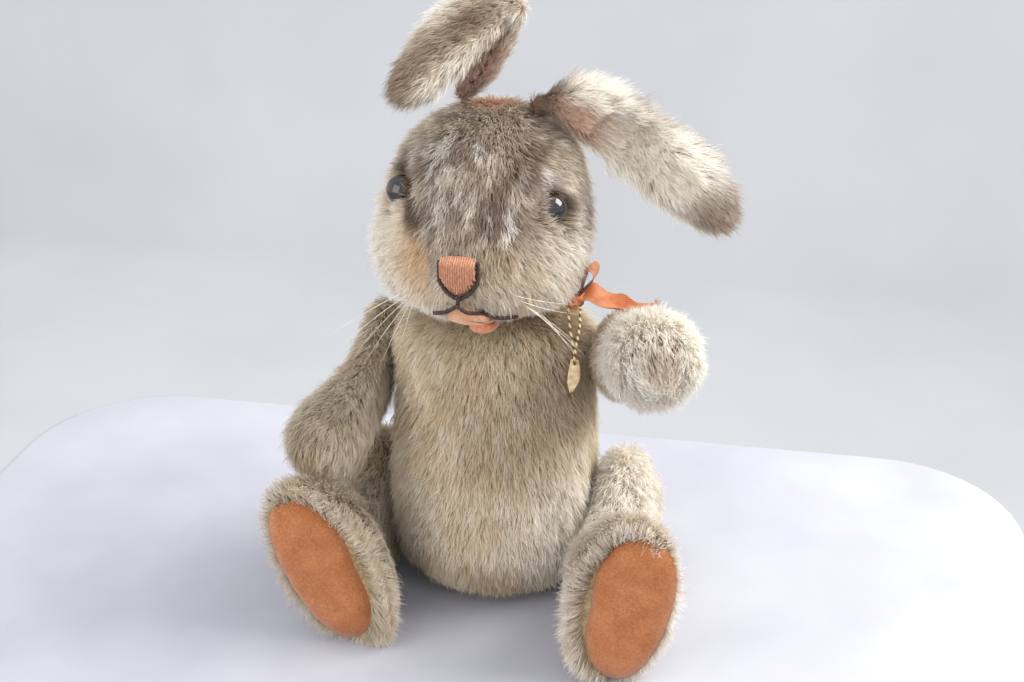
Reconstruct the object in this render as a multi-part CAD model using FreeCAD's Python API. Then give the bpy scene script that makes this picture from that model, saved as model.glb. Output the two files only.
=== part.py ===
import FreeCAD, Part
import math
import os

# A jointed plush rabbit, sitting. Millimetres, +Z up, facing -Y. The rabbit's left is +X.
# The origin is the middle of the trunk's flat seat, on the surface that it sits on.

Vector = FreeCAD.Vector
ACROSS = Vector(1, 0, 0)
UP = Vector(0, 0, 1)

# cloth and stuffing
CLOTH = 2.4  # plush cloth with the dense foot of its pile
FELT = 1.2
SLACK = 0.15  # gap between the cloth and the stuffing inside it
RING_POINTS = 16  # points that one closed section is drawn through

# trunk: (height, half width, half depth, middle in Y)
TRUNK_HALF_WIDTH = 28.6  # to the flat faces that the limbs turn against
TRUNK = [
    (0.0, 16.5, 16.5, -1.0),
    (2.6, 21.8, 22.0, -1.3),
    (9.0, 26.6, 26.8, -2.0),
    (18.0, 28.9, 29.2, -3.0),
    (30.0, 29.4, 30.0, -3.0),
    (45.0, 29.0, 28.6, -2.0),
    (58.0, 28.9, 26.2, -1.0),
    (70.0, 28.9, 24.2, 0.0),
    (77.0, 28.6, 22.6, 0.0),
    (82.0, 25.2, 19.4, 0.0),
    (85.6, 18.4, 15.4, 0.0),
    (88.0, 11.4, 11.2, 0.0),
]

# head: the same, from its flat underside up. The muzzle is the deep part at the front
NECK_GAP = 0.6
HEAD = [
    (TRUNK[-1][0] + NECK_GAP, 12.0, 12.0, 0.0),
    (91.5, 18.4, 19.0, -3.0),
    (96.0, 23.4, 26.6, -6.4),
    (103.0, 26.0, 32.0, -6.6),
    (111.0, 26.6, 32.4, -5.4),
    (119.0, 25.6, 30.0, -3.0),
    (126.0, 24.4, 27.2, -1.0),
    (133.0, 22.0, 23.4, 0.0),
    (138.5, 17.0, 18.4, 1.0),
    (142.0, 10.4, 11.4, 1.0),
    (143.6, 4.4, 4.8, 1.0),
]

# disc joints
LIMB_FACE = 29.2  # inner face of each arm and leg, |x|
SHOULDER = Vector(0, 3, 69.6)
HIP = Vector(0, 1, 23)
PIN_R = 1.1
RUNNING_CLEARANCE = 0.06
DISC_THICK = 1.6
WASHER_THICK = 0.6
WASHER_R = 3.2
PIN_HEAD_R = 2.3
PIN_HEAD_THICK = 1.0
CURL_R = 2.2  # the split pin's legs curl at this radius
CURL_WIRE_R = 0.7
SHOULDER_DISC_R = 5.6
HIP_DISC_R = 9.6
NECK_DISC_R = 9.5

# arms: (across, forward, height, half width, half depth) of each section, for the rabbit's
# right arm, which hangs down and forward, and for the left arm, which is raised
ARM_RIGHT = [
    (36.2, 10.0, 79.4, 3.0, 4.0),
    (36.6, 7.6, 77.0, 6.2, 8.4),
    (37.2, 2.0, 71.6, 7.6, 11.0),
    (38.0, -7.0, 66.0, 8.2, 11.0),
    (39.6, -16.4, 61.6, 9.2, 10.4),
    (41.2, -25.4, 58.2, 10.4, 10.2),
    (42.2, -33.0, 55.8, 10.8, 10.0),
    (42.8, -39.2, 54.0, 8.8, 8.2),
    (43.0, -42.6, 53.0, 4.2, 4.0),
]
ARM_LEFT = [
    (36.4, 11.2, 63.6, 3.0, 4.0),
    (36.8, 9.0, 65.4, 6.2, 8.4),
    (37.4, 3.0, 69.8, 7.8, 10.8),
    (39.2, -6.5, 75.0, 8.6, 11.2),
    (43.2, -16.5, 79.6, 9.8, 11.0),
    (47.8, -26.0, 83.2, 11.0, 11.4),
    (51.2, -34.4, 85.8, 11.2, 11.6),
    (53.0, -40.6, 87.6, 9.2, 9.4),
    (53.8, -44.2, 88.6, 4.2, 4.4),
]

# legs: (forward, half width, half height), resting on the ground. The last one is the sole's
LEG = [
    (19.0, 3.4, 4.6),
    (16.6, 6.2, 11.0),
    (10.0, 8.0, 17.6),
    (0.0, 8.8, 20.6),
    (-12.0, 9.8, 18.6),
    (-24.0, 12.0, 16.0),
    (-34.0, 13.2, 18.4),
    (-43.0, 13.6, 23.6),
    (-49.0, 13.8, 25.8),
    (-53.0, 13.0, 25.6),
]
HAUNCH_X = 37.6
LIFT = 0.1  # the pile's thickness under a leg
ANKLE_IN = 3.0  # the ankles bow inward
TURNING_R = 37.0  # a leg is flat against the trunk this far from its hip
# where each foot ends up, how far its toe leans outward, and how long the leg reaches
FEET = {"left": (46.8, 13.0, 1.06), "right": (38.0, 23.0, 0.98)}
SOLE_DROP = 1.6  # the sole sits this far below the middle of the foot's front
SOLE_HALF_WIDTH = 10.6
SOLE_HALF_LENGTH = 22.8

# ears: (point, half width, half thickness) along each ear, root first
ROOT_R = 2.2  # the gathered root that an ear swings from
EAR_ROLL_R = 1.2  # the soft fold between the two parts of an ear
EAR_LEFT_ROOT = Vector(13.0, 3.0, 143.6)
EAR_LEFT_FOLD = Vector(37.0, 3.0, 136.4)
EAR_LEFT_WIDTH = Vector(0.5, 0, 0.86)
EAR_LEFT_BASE = [
    (EAR_LEFT_ROOT, 2.2, 1.2),
    (Vector(16.6, 3.0, 145.2), 3.8, 1.4),
    (Vector(21.4, 3.0, 145.2), 6.2, 2.0),
    (Vector(29.0, 3.0, 141.4), 7.8, 2.2),
    (Vector(33.8, 3.0, 138.4), 8.2, 0.9),
    (EAR_LEFT_FOLD, 8.2, 0.55),
]
EAR_LEFT_TIP = [
    (EAR_LEFT_FOLD, 8.2, 0.55),
    (Vector(40.2, 3.0, 134.2), 8.2, 0.9),
    (Vector(46.0, 3.0, 130.2), 8.2, 2.2),
    (Vector(54.0, 3.0, 124.2), 7.6, 2.2),
    (Vector(60.6, 3.0, 118.2), 5.6, 1.8),
    (Vector(64.0, 3.0, 114.8), 2.2, 1.0),
]
EAR_RIGHT_ROOT = Vector(-7.5, 3.0, 146.2)
EAR_RIGHT_FOLD = Vector(7.5, 3.0, 173.5)
EAR_RIGHT_WIDTH = Vector(0.781, -0.461, -0.42)
EAR_RIGHT_BASE = [
    (EAR_RIGHT_ROOT, 2.2, 1.2),
    (Vector(-5.8, 3.0, 149.4), 4.0, 1.4),
    (Vector(-3.2, 3.0, 154.2), 6.2, 2.0),
    (Vector(1.8, 3.0, 163.2), 7.8, 2.0),
    (Vector(5.6, 3.0, 170.0), 8.2, 0.8),
    (EAR_RIGHT_FOLD, 8.2, 0.55),
]
EAR_RIGHT_TIP = [
    (EAR_RIGHT_FOLD, 8.2, 0.55),
    (Vector(4.6, 0.0, 172.6), 8.2, 0.8),
    (Vector(-1.0, -6.0, 169.4), 8.2, 2.0),
    (Vector(-8.8, -14.4, 163.6), 7.6, 2.2),
    (Vector(-15.6, -21.6, 157.6), 5.6, 1.8),
    (Vector(-18.8, -25.0, 154.4), 2.2, 1.0),
]
LINING_THICK = 0.8
LINING_INSET = 2.0
LEAF_SIDES = 12

# face
EYE_R = 4.2
EYE_ROOM = 0.3  # the stuffing stands off this far from an eye
EYE_POINTS = {"left": Vector(20.6, -16.6, 121.6), "right": Vector(-20.6, -16.6, 124.4)}
NOSE = Vector(0.5, -37.6, 110.6)
NOSE_HALF_WIDTH = 4.6
NOSE_HALF_HEIGHT = 4.6
MOUTH_DROP = 8.4  # from the nose's middle down to where the mouth stitches meet
THREAD_R = 0.55
WHISKER_R = 0.2
WHISKERS_A_SIDE = 5
WHISKER_LENGTHS = {"left": 17.0, "right": 25.0}
WHISKER_DROOPS = {"left": 34.0, "right": 16.0}

# ribbon, tag and cord
RIBBON_THICK = 0.8
RIBBON_LOW = (86.0, 20.6, 17.8)  # height, half width and half depth of the band's lower edge
RIBBON_HIGH = (88.8, 15.0, 14.8)
KNOT = Vector(25.2, -8.0, 91.4)
KNOT_HALF = Vector(2.2, 2.7, 2.0)
TAG_TOP = Vector(26.7, -17.2, 78.4)
TAG_SIZE = Vector(3.2, 0.8, 10.4)
TAG_HOLE_DROP = 1.5
CORD_R = 0.35


def blend(start, end, share):
    """Point a share of the way from start to end."""
    return start + (end - start) * share


def ring(middle, direction, side, half_side, half_other, lean=0.0):
    """Closed oval wire across a direction. half_side lies along side, half_other across it."""
    direction = Vector(direction).normalize()
    side = Vector(side)
    side = (side - direction * side.dot(direction)).normalize()
    other = direction.cross(side)
    points = []
    for step in range(RING_POINTS):
        turn = 2 * math.pi * step / RING_POINTS
        along = half_side * math.cos(turn)
        over = half_other * math.sin(turn)
        tilt = math.radians(lean)
        x = along * math.cos(tilt) - over * math.sin(tilt)
        y = along * math.sin(tilt) + over * math.cos(tilt)
        points.append(middle + side * x + other * y)
    curve = Part.BSplineCurve()
    curve.interpolate(points, PeriodicFlag=True)
    return Part.Wire([curve.toShape()])


def loft(rings):
    """Smooth closed solid through the rings."""
    return Part.makeLoft(rings, True, False)


def cylinder(radius, start, end):
    """Round bar from start to end."""
    along = end - start
    return Part.makeCylinder(radius, along.Length, start, along)


def ellipsoid(middle, radii, axis=UP, turn=0.0):
    """Ellipsoid at middle, with its three half sizes, turned about axis."""
    ball = Part.makeSphere(1.0)
    matrix = FreeCAD.Matrix()
    matrix.scale(radii)
    shape = ball.transformGeometry(matrix)
    shape.rotate(Vector(0, 0, 0), axis, turn)
    shape.translate(middle)
    return shape


def box_between(low, high):
    """Box from one corner to the opposite one."""
    size = high - low
    return Part.makeBox(size.x, size.y, size.z, low)


def save(name, shape):
    """Write one node, a single solid or a group of separate solids."""
    solids = shape.Solids
    result = solids[0] if len(solids) == 1 else Part.makeCompound(solids)
    if not result.isValid():
        print("not valid:", name)
    result.exportStep("parts/" + name + ".step")


def group(shapes):
    """Several separate solids as one node."""
    return Part.makeCompound(shapes)


def side_sign(side):
    """+1 for the rabbit's left, -1 for its right."""
    return 1.0 if side == "left" else -1.0


# --- trunk and head ---------------------------------------------------------------------------


def column(sections, inset):
    """Upright body through level sections, shrunk by inset on every side."""
    first = sections[0]
    last = sections[-1]
    lowest = first[0] + inset
    highest = last[0] - inset
    rings = []
    for height, half_x, half_y, middle_y in sections:
        if inset and not lowest + 0.3 < height < highest - 0.3:
            continue
        rings.append(ring(Vector(0, middle_y, height), UP, ACROSS, half_x - inset, half_y - inset))
    if inset:
        low = Vector(0, first[3], lowest)
        high = Vector(0, last[3], highest)
        rings.insert(0, ring(low, UP, ACROSS, first[1] - inset / 2, first[2] - inset / 2))
        rings.append(ring(high, UP, ACROSS, max(last[1] - inset / 2, 2.0), max(last[2] - inset / 2, 2.0)))
    return loft(rings)


def between_faces(shape, half_width):
    """Cut a body flat at both sides."""
    limits = box_between(Vector(-half_width, -80, -10), Vector(half_width, 80, 220))
    return shape.common(limits)


def trunk_outer():
    return between_faces(column(TRUNK, 0.0), TRUNK_HALF_WIDTH)


def trunk_inner(inset):
    return between_faces(column(TRUNK, inset), TRUNK_HALF_WIDTH - inset)


def head_outer():
    return column(HEAD, 0.0)


def head_inner(inset):
    return column(HEAD, inset)


# --- disc joints -------------------------------------------------------------------------------


class DiscJoint:
    """A disc on either side of the cloth, held by a split pin with a washer at each end.

    middle is where the two cloths meet, out points from the trunk into the moving part, and the
    pin's round head is in the moving part.
    """

    def __init__(self, trunk_face, moving_face, out, disc_r):
        self.out = out
        self.disc_r = disc_r
        self.trunk_inside = trunk_face - out * (CLOTH + SLACK)
        self.moving_inside = moving_face + out * (CLOTH + SLACK)

    def plate(self, radius, start, thickness, hole):
        whole = Part.makeCylinder(radius, thickness, start, self.out)
        return whole.cut(Part.makeCylinder(hole, thickness, start, self.out))

    def trunk_disc(self):
        start = self.trunk_inside - self.out * DISC_THICK
        return self.plate(self.disc_r, start, DISC_THICK, PIN_R + RUNNING_CLEARANCE)

    def trunk_washer(self):
        start = self.trunk_inside - self.out * (DISC_THICK + WASHER_THICK + 0.05)
        return self.plate(WASHER_R, start, WASHER_THICK, PIN_R + RUNNING_CLEARANCE)

    def moving_disc(self):
        return self.plate(self.disc_r, self.moving_inside, DISC_THICK, PIN_R + 0.02)

    def moving_washer(self):
        start = self.moving_inside + self.out * (DISC_THICK + 0.02)
        return self.plate(WASHER_R, start, WASHER_THICK, PIN_R + 0.02)

    def pin(self):
        """Shaft, round head, and two legs curled back behind the trunk's washer."""
        head = self.moving_inside + self.out * (DISC_THICK + WASHER_THICK + 0.04)
        bend = self.trunk_inside - self.out * (DISC_THICK + WASHER_THICK + 1.1)
        shaft = cylinder(PIN_R, bend, head)
        cap = Part.makeCylinder(PIN_HEAD_R, PIN_HEAD_THICK, head, self.out)
        side = ACROSS if abs(self.out.z) > 0.5 else UP
        around = self.out.cross(side)
        legs = []
        for way in (1.0, -1.0):
            middle = bend + side * (CURL_R * way)
            torus = Part.makeTorus(CURL_R, CURL_WIRE_R, middle, around)
            keep = Part.makeBox(20, 20, 20)
            keep.translate(Vector(-10, -10, 0))
            turned = FreeCAD.Placement(bend, FreeCAD.Rotation(UP, -self.out))
            keep = keep.transformGeometry(turned.toMatrix())
            legs.append(torus.common(keep))
        return shaft.fuse([cap] + legs)

    def disc_room(self):
        """Room in the trunk for the disc against its cloth."""
        inner = self.trunk_inside - self.out * (DISC_THICK + 0.1)
        return cylinder(self.disc_r + 0.3, self.trunk_inside + self.out * 0.05, inner)

    def pin_room(self):
        """Room in the trunk's stuffing for the washer and the curled legs of the turning pin."""
        deep = DISC_THICK + WASHER_THICK + 2 * CURL_R + 2.6
        middle = self.trunk_inside - self.out * 0.4
        return cylinder(2 * CURL_R + 1.0, middle, self.trunk_inside - self.out * deep)

    def moving_disc_room(self):
        """Room in the moving part for its disc."""
        outer = self.moving_inside + self.out * (DISC_THICK + 0.1)
        return cylinder(self.disc_r + 0.3, self.moving_inside - self.out * 0.05, outer)

    def moving_pin_room(self):
        """Room in the moving part's stuffing for its washer and the pin's head."""
        deep = DISC_THICK + WASHER_THICK + PIN_HEAD_THICK + 0.6
        middle = self.moving_inside + self.out * 0.4
        return cylinder(WASHER_R + 0.4, middle, self.moving_inside + self.out * deep)

    def hole(self):
        """The hole through both cloths, a running clearance larger than the pin."""
        start = self.trunk_inside - self.out * 2
        return cylinder(PIN_R + RUNNING_CLEARANCE, start, self.moving_inside + self.out * 2)


def limb_joint(side, centre, disc_r):
    out = ACROSS * side_sign(side)
    trunk_face = out * TRUNK_HALF_WIDTH + centre
    moving_face = out * LIMB_FACE + centre
    return DiscJoint(trunk_face, moving_face, out, disc_r)


def neck_joint():
    top = TRUNK[-1][0]
    return DiscJoint(Vector(0, 0, top), Vector(0, 0, top + NECK_GAP), UP, NECK_DISC_R)


JOINTS = {
    "neck": neck_joint(),
    "arm_left": limb_joint("left", SHOULDER, SHOULDER_DISC_R),
    "arm_right": limb_joint("right", SHOULDER, SHOULDER_DISC_R),
    "leg_left": limb_joint("left", HIP, HIP_DISC_R),
    "leg_right": limb_joint("right", HIP, HIP_DISC_R),
}


# --- limbs -------------------------------------------------------------------------------------


def outside_face(shape, side, face):
    """Keep what lies outside a limb's flat inner face."""
    if side == "left":
        limits = box_between(Vector(face, -120, -20), Vector(120, 120, 220))
    else:
        limits = box_between(Vector(-120, -120, -20), Vector(-face, 120, 220))
    return shape.common(limits)


def arm_solid(side, inset):
    """Arm through its sections, shrunk by inset, flat against the trunk."""
    sign = side_sign(side)
    sections = ARM_LEFT if side == "left" else ARM_RIGHT
    points = [Vector(x * sign, y, z) for x, y, z, _, _ in sections]
    if inset:
        points[0] = blend(points[0], points[1], min(1.0, inset / 3))
        points[-1] = blend(points[-1], points[-2], min(1.0, inset / 4))
    rings = []
    for index, section in enumerate(sections):
        before = points[max(index - 1, 0)]
        after = points[min(index + 1, len(points) - 1)]
        half_width = max(section[3] - inset, 1.4)
        half_depth = max(section[4] - inset, 1.6)
        rings.append(ring(points[index], after - before, ACROSS, half_width, half_depth))
    return outside_face(loft(rings), side, LIMB_FACE + inset)


def leg_solid(side, inset):
    """Leg and foot through upright sections, resting on the ground, flat against the trunk."""
    sign = side_sign(side)
    foot_x, lean, reach = FEET[side]
    front = LEG[-1][0]
    rings = []
    for index, (forward, half_width, half_height) in enumerate(LEG):
        share = max(0.0, forward / front)
        tilt = math.radians(lean * share)
        bow = ANKLE_IN * math.sin(math.pi * share)
        across = sign * (HAUNCH_X + (foot_x - HAUNCH_X) * share - bow)
        reached = math.hypot(half_height * math.cos(tilt), half_width * math.sin(tilt))
        y = forward * reach
        if inset and index == 0:
            y = y - inset
        if inset and index == len(LEG) - 1:
            y = y + inset
        middle = Vector(across, y, reached + LIFT)
        wide = max(half_width - inset, 1.6)
        high = max(half_height - inset, 2.4)
        rings.append(ring(middle, Vector(0, -1, 0), ACROSS, wide, high, -lean * share * sign))
    whole = loft(rings)
    room = Part.makeCylinder(TURNING_R + inset, 2 * (LIMB_FACE + inset), HIP - ACROSS * (LIMB_FACE + inset), ACROSS)
    return whole.cut(room)


def sole_middle(side):
    """Middle of the flat front of a foot."""
    sign = side_sign(side)
    foot_x, lean, reach = FEET[side]
    tilt = math.radians(lean)
    forward, half_width, half_height = LEG[-1]
    reached = math.hypot(half_height * math.cos(tilt), half_width * math.sin(tilt))
    return Vector(foot_x * sign, forward * reach, reached + LIFT)


def sole(side):
    """Felt sole on the flat front of a foot, wider at the toe than at the heel."""
    sign = side_sign(side)
    lean = math.radians(FEET[side][1])
    drop = Vector(sign * math.sin(lean), 0, math.cos(lean)) * SOLE_DROP
    middle = sole_middle(side) - drop - Vector(0, 0.05, 0)
    points = []
    for step in range(RING_POINTS):
        turn = 2 * math.pi * step / RING_POINTS
        high = SOLE_HALF_LENGTH * math.sin(turn)
        taper = 0.86 + 0.14 * math.sin(turn)
        wide = SOLE_HALF_WIDTH * math.cos(turn) * taper
        x = wide * math.cos(lean) + high * math.sin(lean)
        z = -wide * math.sin(lean) + high * math.cos(lean)
        points.append(middle + Vector(x * sign, 0, z))
    curve = Part.BSplineCurve()
    curve.interpolate(points, PeriodicFlag=True)
    face = Part.Face(Part.Wire([curve.toShape()]))
    return face.extrude(Vector(0, -FELT, 0))


def toe_stitches(side):
    """Three short stitches over the top of the foot."""
    sign = side_sign(side)
    middle = sole_middle(side)
    lean = math.radians(FEET[side][1])
    half_width, half_height = LEG[-1][1], LEG[-1][2]
    stitches = []
    for turn in (-32.0, 0.0, 32.0):
        angle = math.radians(turn)
        wide = half_width * math.sin(angle)
        high = half_height * math.cos(angle)
        x = wide * math.cos(lean) + high * math.sin(lean)
        z = -wide * math.sin(lean) + high * math.cos(lean)
        foot = middle + Vector(x * sign, 0, z)
        outward = Vector(x * sign, 0, z).normalize()
        start = foot + outward * 0.3 + Vector(0, 1.0, 0)
        stitches.append(cylinder(THREAD_R, start, start + Vector(0, 5.0, 0) + outward * 0.2))
    return group(stitches)


def claws(side):
    """Claw stitches over the end of a paw."""
    sign = side_sign(side)
    sections = ARM_LEFT if side == "left" else ARM_RIGHT
    tip = Vector(sections[-1][0] * sign, sections[-1][1], sections[-1][2])
    back = Vector(sections[-3][0] * sign, sections[-3][1], sections[-3][2])
    along = (tip - back).normalize()
    wide = (ACROSS - along * ACROSS.dot(along)).normalize()
    up = wide.cross(along)
    up = up if up.z > 0 else up * -1
    stitches = []
    for place in (-4.0, 0.0, 4.0):
        top = tip + wide * place + up * 6.2 - along * (2.2 + 0.06 * place * place)
        low = tip + wide * place + up * 0.6 + along * (0.9 - 0.06 * place * place)
        stitches.append(cylinder(THREAD_R, top, low))
    return group(stitches)


def export_limb(name, side, joint, solid):
    """Cover, stuffing, disc, washer and pin of one limb."""
    outer = solid(side, 0.0)
    hollow = solid(side, CLOTH)
    filling = solid(side, CLOTH + SLACK)
    save(name + "_cover", outer.cut(hollow).cut(joint.hole()).cut(joint.moving_disc_room()))
    save(name + "_stuffing", filling.cut(joint.moving_disc_room()).cut(joint.moving_pin_room()))
    save(name + "_disc", joint.moving_disc())
    save(name + "_washer", joint.moving_washer())
    save(name + "_pin", joint.pin())


# --- ears --------------------------------------------------------------------------------------


def directions(sections):
    """The way that an ear runs at each of its sections."""
    points = [section[0] for section in sections]
    ways = []
    for index in range(len(points)):
        before = points[max(index - 1, 0)]
        after = points[min(index + 1, len(points) - 1)]
        ways.append((after - before).normalize())
    return ways


def leaf(sections, width_axis):
    """Flat leaf through thin many-sided sections along an ear."""
    across = Vector(width_axis).normalize()
    rings = []
    for (point, half_width, half_thick), way in zip(sections, directions(sections)):
        outward = way.cross(across).normalize()
        corners = []
        for step in range(LEAF_SIDES + 1):
            turn = 2 * math.pi * step / LEAF_SIDES
            offset = across * half_width * math.cos(turn) + outward * half_thick * math.sin(turn)
            corners.append(point + offset)
        rings.append(Part.makePolygon(corners))
    return Part.makeLoft(rings, True, True)


def ear_lining(sections, width_axis, front):
    """Thin flat lining laid on the front of an ear, narrower than the ear."""
    across = Vector(width_axis).normalize()
    rings = []
    for (point, half_width, half_thick), way in zip(sections, directions(sections)):
        outward = way.cross(across).normalize() * front
        near = point + outward * (half_thick + 0.05)
        far = near + outward * LINING_THICK
        side = across * (half_width - LINING_INSET)
        rings.append(Part.makePolygon([near - side, near + side, far + side, far - side, near - side]))
    return Part.makeLoft(rings, True, True)


def export_ear(side, base, tip, width_axis, front):
    """Both parts of one ear: plush behind, lining in front, and the fold between them."""
    root = base[0][0]
    fold = base[-1][0]
    across = Vector(width_axis).normalize() * base[-1][1]
    knob = Part.makeSphere(ROOT_R, root)
    roll = cylinder(EAR_ROLL_R, fold - across, fold + across)
    room = cylinder(EAR_ROLL_R + 0.15, fold - across * 1.4, fold + across * 1.4)
    name = "ear_" + side
    save(name + "_base_cover", leaf(base, width_axis).fuse([knob, roll]))
    save(name + "_tip_cover", leaf(tip, width_axis).cut(room))
    save(name + "_base_lining", ear_lining(base[1:-2], width_axis, front))
    save(name + "_tip_lining", ear_lining(tip[2:-1], width_axis, front))


# --- face --------------------------------------------------------------------------------------


def face_front(height, x):
    """How far forward the head's surface is at a height and a distance from the middle."""
    low = max((s for s in HEAD if s[0] <= height), key=lambda s: s[0])
    high = min((s for s in HEAD if s[0] > height), key=lambda s: s[0])
    share = (height - low[0]) / (high[0] - low[0])
    half_x = low[1] + (high[1] - low[1]) * share
    half_y = low[2] + (high[2] - low[2]) * share
    middle_y = low[3] + (high[3] - low[3]) * share
    return middle_y - half_y * math.sqrt(max(0.0, 1 - (x / half_x) ** 2))


def face_point(x, height, proud):
    return Vector(x, face_front(height, x) - proud, height)


def nose_outline_points(scale):
    """Shield shape: level at the top and round at the bottom."""
    points = []
    for turn in range(0, 360, 30):
        angle = math.radians(turn)
        x = NOSE_HALF_WIDTH * math.cos(angle) * (0.9 + 0.12 * math.sin(angle))
        z = NOSE_HALF_HEIGHT * math.sin(angle)
        z = min(z, 0.82 * NOSE_HALF_HEIGHT)
        points.append(Vector(NOSE.x + x * scale, 0, NOSE.z + z * scale))
    return points


def nose():
    """Padded nose, standing a little proud of the muzzle."""
    curve = Part.BSplineCurve()
    curve.interpolate(nose_outline_points(1.0), PeriodicFlag=True)
    face = Part.Face(Part.Wire([curve.toShape()]))
    face.translate(Vector(0, NOSE.y - 2.0, 0))
    return face.extrude(Vector(0, 6.0, 0))


def thread(points, radius):
    """Thread laid through points, as short round bars with round ends."""
    bars = [cylinder(radius, start, end) for start, end in zip(points, points[1:])]
    balls = [Part.makeSphere(radius, point) for point in points]
    return bars[0].fuse(bars[1:] + balls)


def nose_outline():
    points = []
    for turn in range(150, 391, 30):
        angle = math.radians(turn)
        x = (NOSE_HALF_WIDTH + 0.9) * math.cos(angle)
        z = (NOSE_HALF_HEIGHT + 0.9) * math.sin(angle)
        points.append(Vector(NOSE.x + x, NOSE.y - 1.2 + 0.05 * x * x, NOSE.z + z))
    return thread(points, THREAD_R)


def mouth_stitches():
    """One upright stitch below the nose, and a mouth line to either side."""
    centre = NOSE.z - MOUTH_DROP
    top = face_point(NOSE.x, NOSE.z - NOSE_HALF_HEIGHT - 1.9, 1.2)
    meet = face_point(NOSE.x, centre, 1.2)
    left = [face_point(NOSE.x + x, centre - drop, 1.2) for x, drop in ((4.5, 2.6), (9.0, 4.8), (13.0, 6.2))]
    right = [face_point(NOSE.x - x, centre - drop, 1.2) for x, drop in ((4.0, 2.6), (8.5, 5.6))]
    return thread([top, meet], THREAD_R + 0.15).fuse([thread([meet] + left, THREAD_R), thread([meet] + right, THREAD_R)])


def mouth_lining():
    """Felt lining of the small open mouth, below the stitches."""
    middle = face_point(NOSE.x + 0.6, NOSE.z - MOUTH_DROP - 4.4, -0.4)
    return ellipsoid(middle, Vector(7.4, 2.2, 2.6))


def lower_lip():
    middle = face_point(NOSE.x + 2.0, NOSE.z - MOUTH_DROP - 8.6, 0.2)
    return ellipsoid(middle, Vector(3.6, 2.6, 2.0))


def eye(side, room=0.0):
    """Glass eye, or the hollow that it takes up with room round it."""
    middle = EYE_POINTS[side]
    return Part.makeSphere(EYE_R + room, middle)


def eye_shank(side):
    """Wire loop behind a glass eye, anchored in the stuffing."""
    middle = EYE_POINTS[side]
    inward = Vector(-middle.x, -middle.y * 0.6, 0).normalize()
    start = middle + inward * (EYE_R - 0.3)
    return cylinder(0.5, start + inward * 0.4, start + inward * 7.0)


def whiskers():
    """A fan of straight bristles on each cheek."""
    bristles = []
    for side, length in WHISKER_LENGTHS.items():
        sign = side_sign(side)
        for index in range(WHISKERS_A_SIDE):
            height = NOSE.z - 8.0 - 1.6 * index
            root = face_point(sign * (13.4 + 0.8 * index), height, 0.2)
            spread = math.radians(WHISKER_DROOPS[side] + 8.0 * index)
            along = Vector(sign * math.cos(spread), -0.2, -math.sin(spread)).normalize()
            bristles.append(cylinder(WHISKER_R, root, root + along * length))
    return group(bristles)


# --- ribbon, tag, tail -------------------------------------------------------------------------


def ribbon_band():
    """Band round the neck, in the dip between head and trunk."""
    low, high = RIBBON_LOW, RIBBON_HIGH
    outside = [ring(Vector(0, 0, z), UP, ACROSS, x, y) for z, x, y in (low, high)]
    inside = [ring(Vector(0, 0, z), UP, ACROSS, x - RIBBON_THICK, y - RIBBON_THICK) for z, x, y in (low, high)]
    return loft(outside).cut(loft(inside))


def strip(points, back, front):
    """Flat strip of ribbon that follows points in X and Z and runs from back to front in Y."""
    upper = []
    lower = []
    for index, (x, z) in enumerate(points):
        before = points[max(index - 1, 0)]
        after = points[min(index + 1, len(points) - 1)]
        along = Vector(after[0] - before[0], 0, after[1] - before[1]).normalize()
        offset = Vector(-along.z, 0, along.x) * (RIBBON_THICK / 2)
        upper.append(Vector(x, back, z) + offset)
        lower.append(Vector(x, back, z) - offset)
    outline = upper + lower[::-1] + upper[:1]
    return Part.Face(Part.makePolygon(outline)).extrude(Vector(0, front - back, 0))


def ribbon_bow():
    """Knot at the rabbit's left of the neck, an upright loop, and a tail over the shoulder."""
    knot = box_between(KNOT - KNOT_HALF, KNOT + KNOT_HALF)
    knot = knot.makeFillet(1.2, knot.Edges)
    rise = [(KNOT.x, KNOT.z), (28.6, 93.6), (30.2, 97.0), (29.4, 100.6)]
    lie = [(KNOT.x, KNOT.z - 0.4), (30.0, 91.2), (37.6, 92.2), (47.0, 91.4)]
    return knot.fuse([strip(rise, KNOT.y - 2.0, -1.0), strip(lie, KNOT.y - 2.0, -1.0)])


def tail():
    """Short tail, low at the back of the trunk."""
    return ellipsoid(Vector(0, 30.2, 15.0), Vector(8.0, 7.4, 8.6))


def rounded_path(points):
    """Straight runs through the points, joined by tangent arcs as large as the runs allow."""
    edges = []
    start = points[0]
    for before, corner, after in zip(points, points[1:], points[2:]):
        arriving = (corner - before).normalize()
        leaving = (after - corner).normalize()
        shorter = min((corner - before).Length, (after - corner).Length)
        reach = 0.45 * shorter
        first = corner - arriving * reach
        last = corner + leaving * reach
        half_turn = arriving.getAngle(leaving) / 2
        radius = reach / math.tan(half_turn)
        print("cord arc radius", round(radius, 2))
        towards = (leaving - arriving).normalize()
        middle = corner + towards * (radius / math.cos(half_turn) - radius)
        edges.append(Part.LineSegment(start, first).toShape())
        edges.append(Part.Arc(first, middle, last).toShape())
        start = last
    edges.append(Part.LineSegment(start, points[-1]).toShape())
    return Part.Wire(edges)


# the doubled cord: down from the knot, through the tag, and back up
CORD_ROUTE = [
    KNOT + Vector(1.8, -2.95, -0.9),
    KNOT + Vector(2.8, -7.2, -3.6),
    TAG_TOP + Vector(0.7, -1.6, 4.6),
    TAG_TOP + Vector(0.0, -1.5, -TAG_HOLE_DROP),
    TAG_TOP + Vector(0.0, 1.5, -TAG_HOLE_DROP),
    TAG_TOP + Vector(-0.8, 1.2, 4.2),
    KNOT + Vector(-0.6, -5.6, -5.0),
    KNOT + Vector(-1.6, -3.05, -0.9),
]


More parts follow.
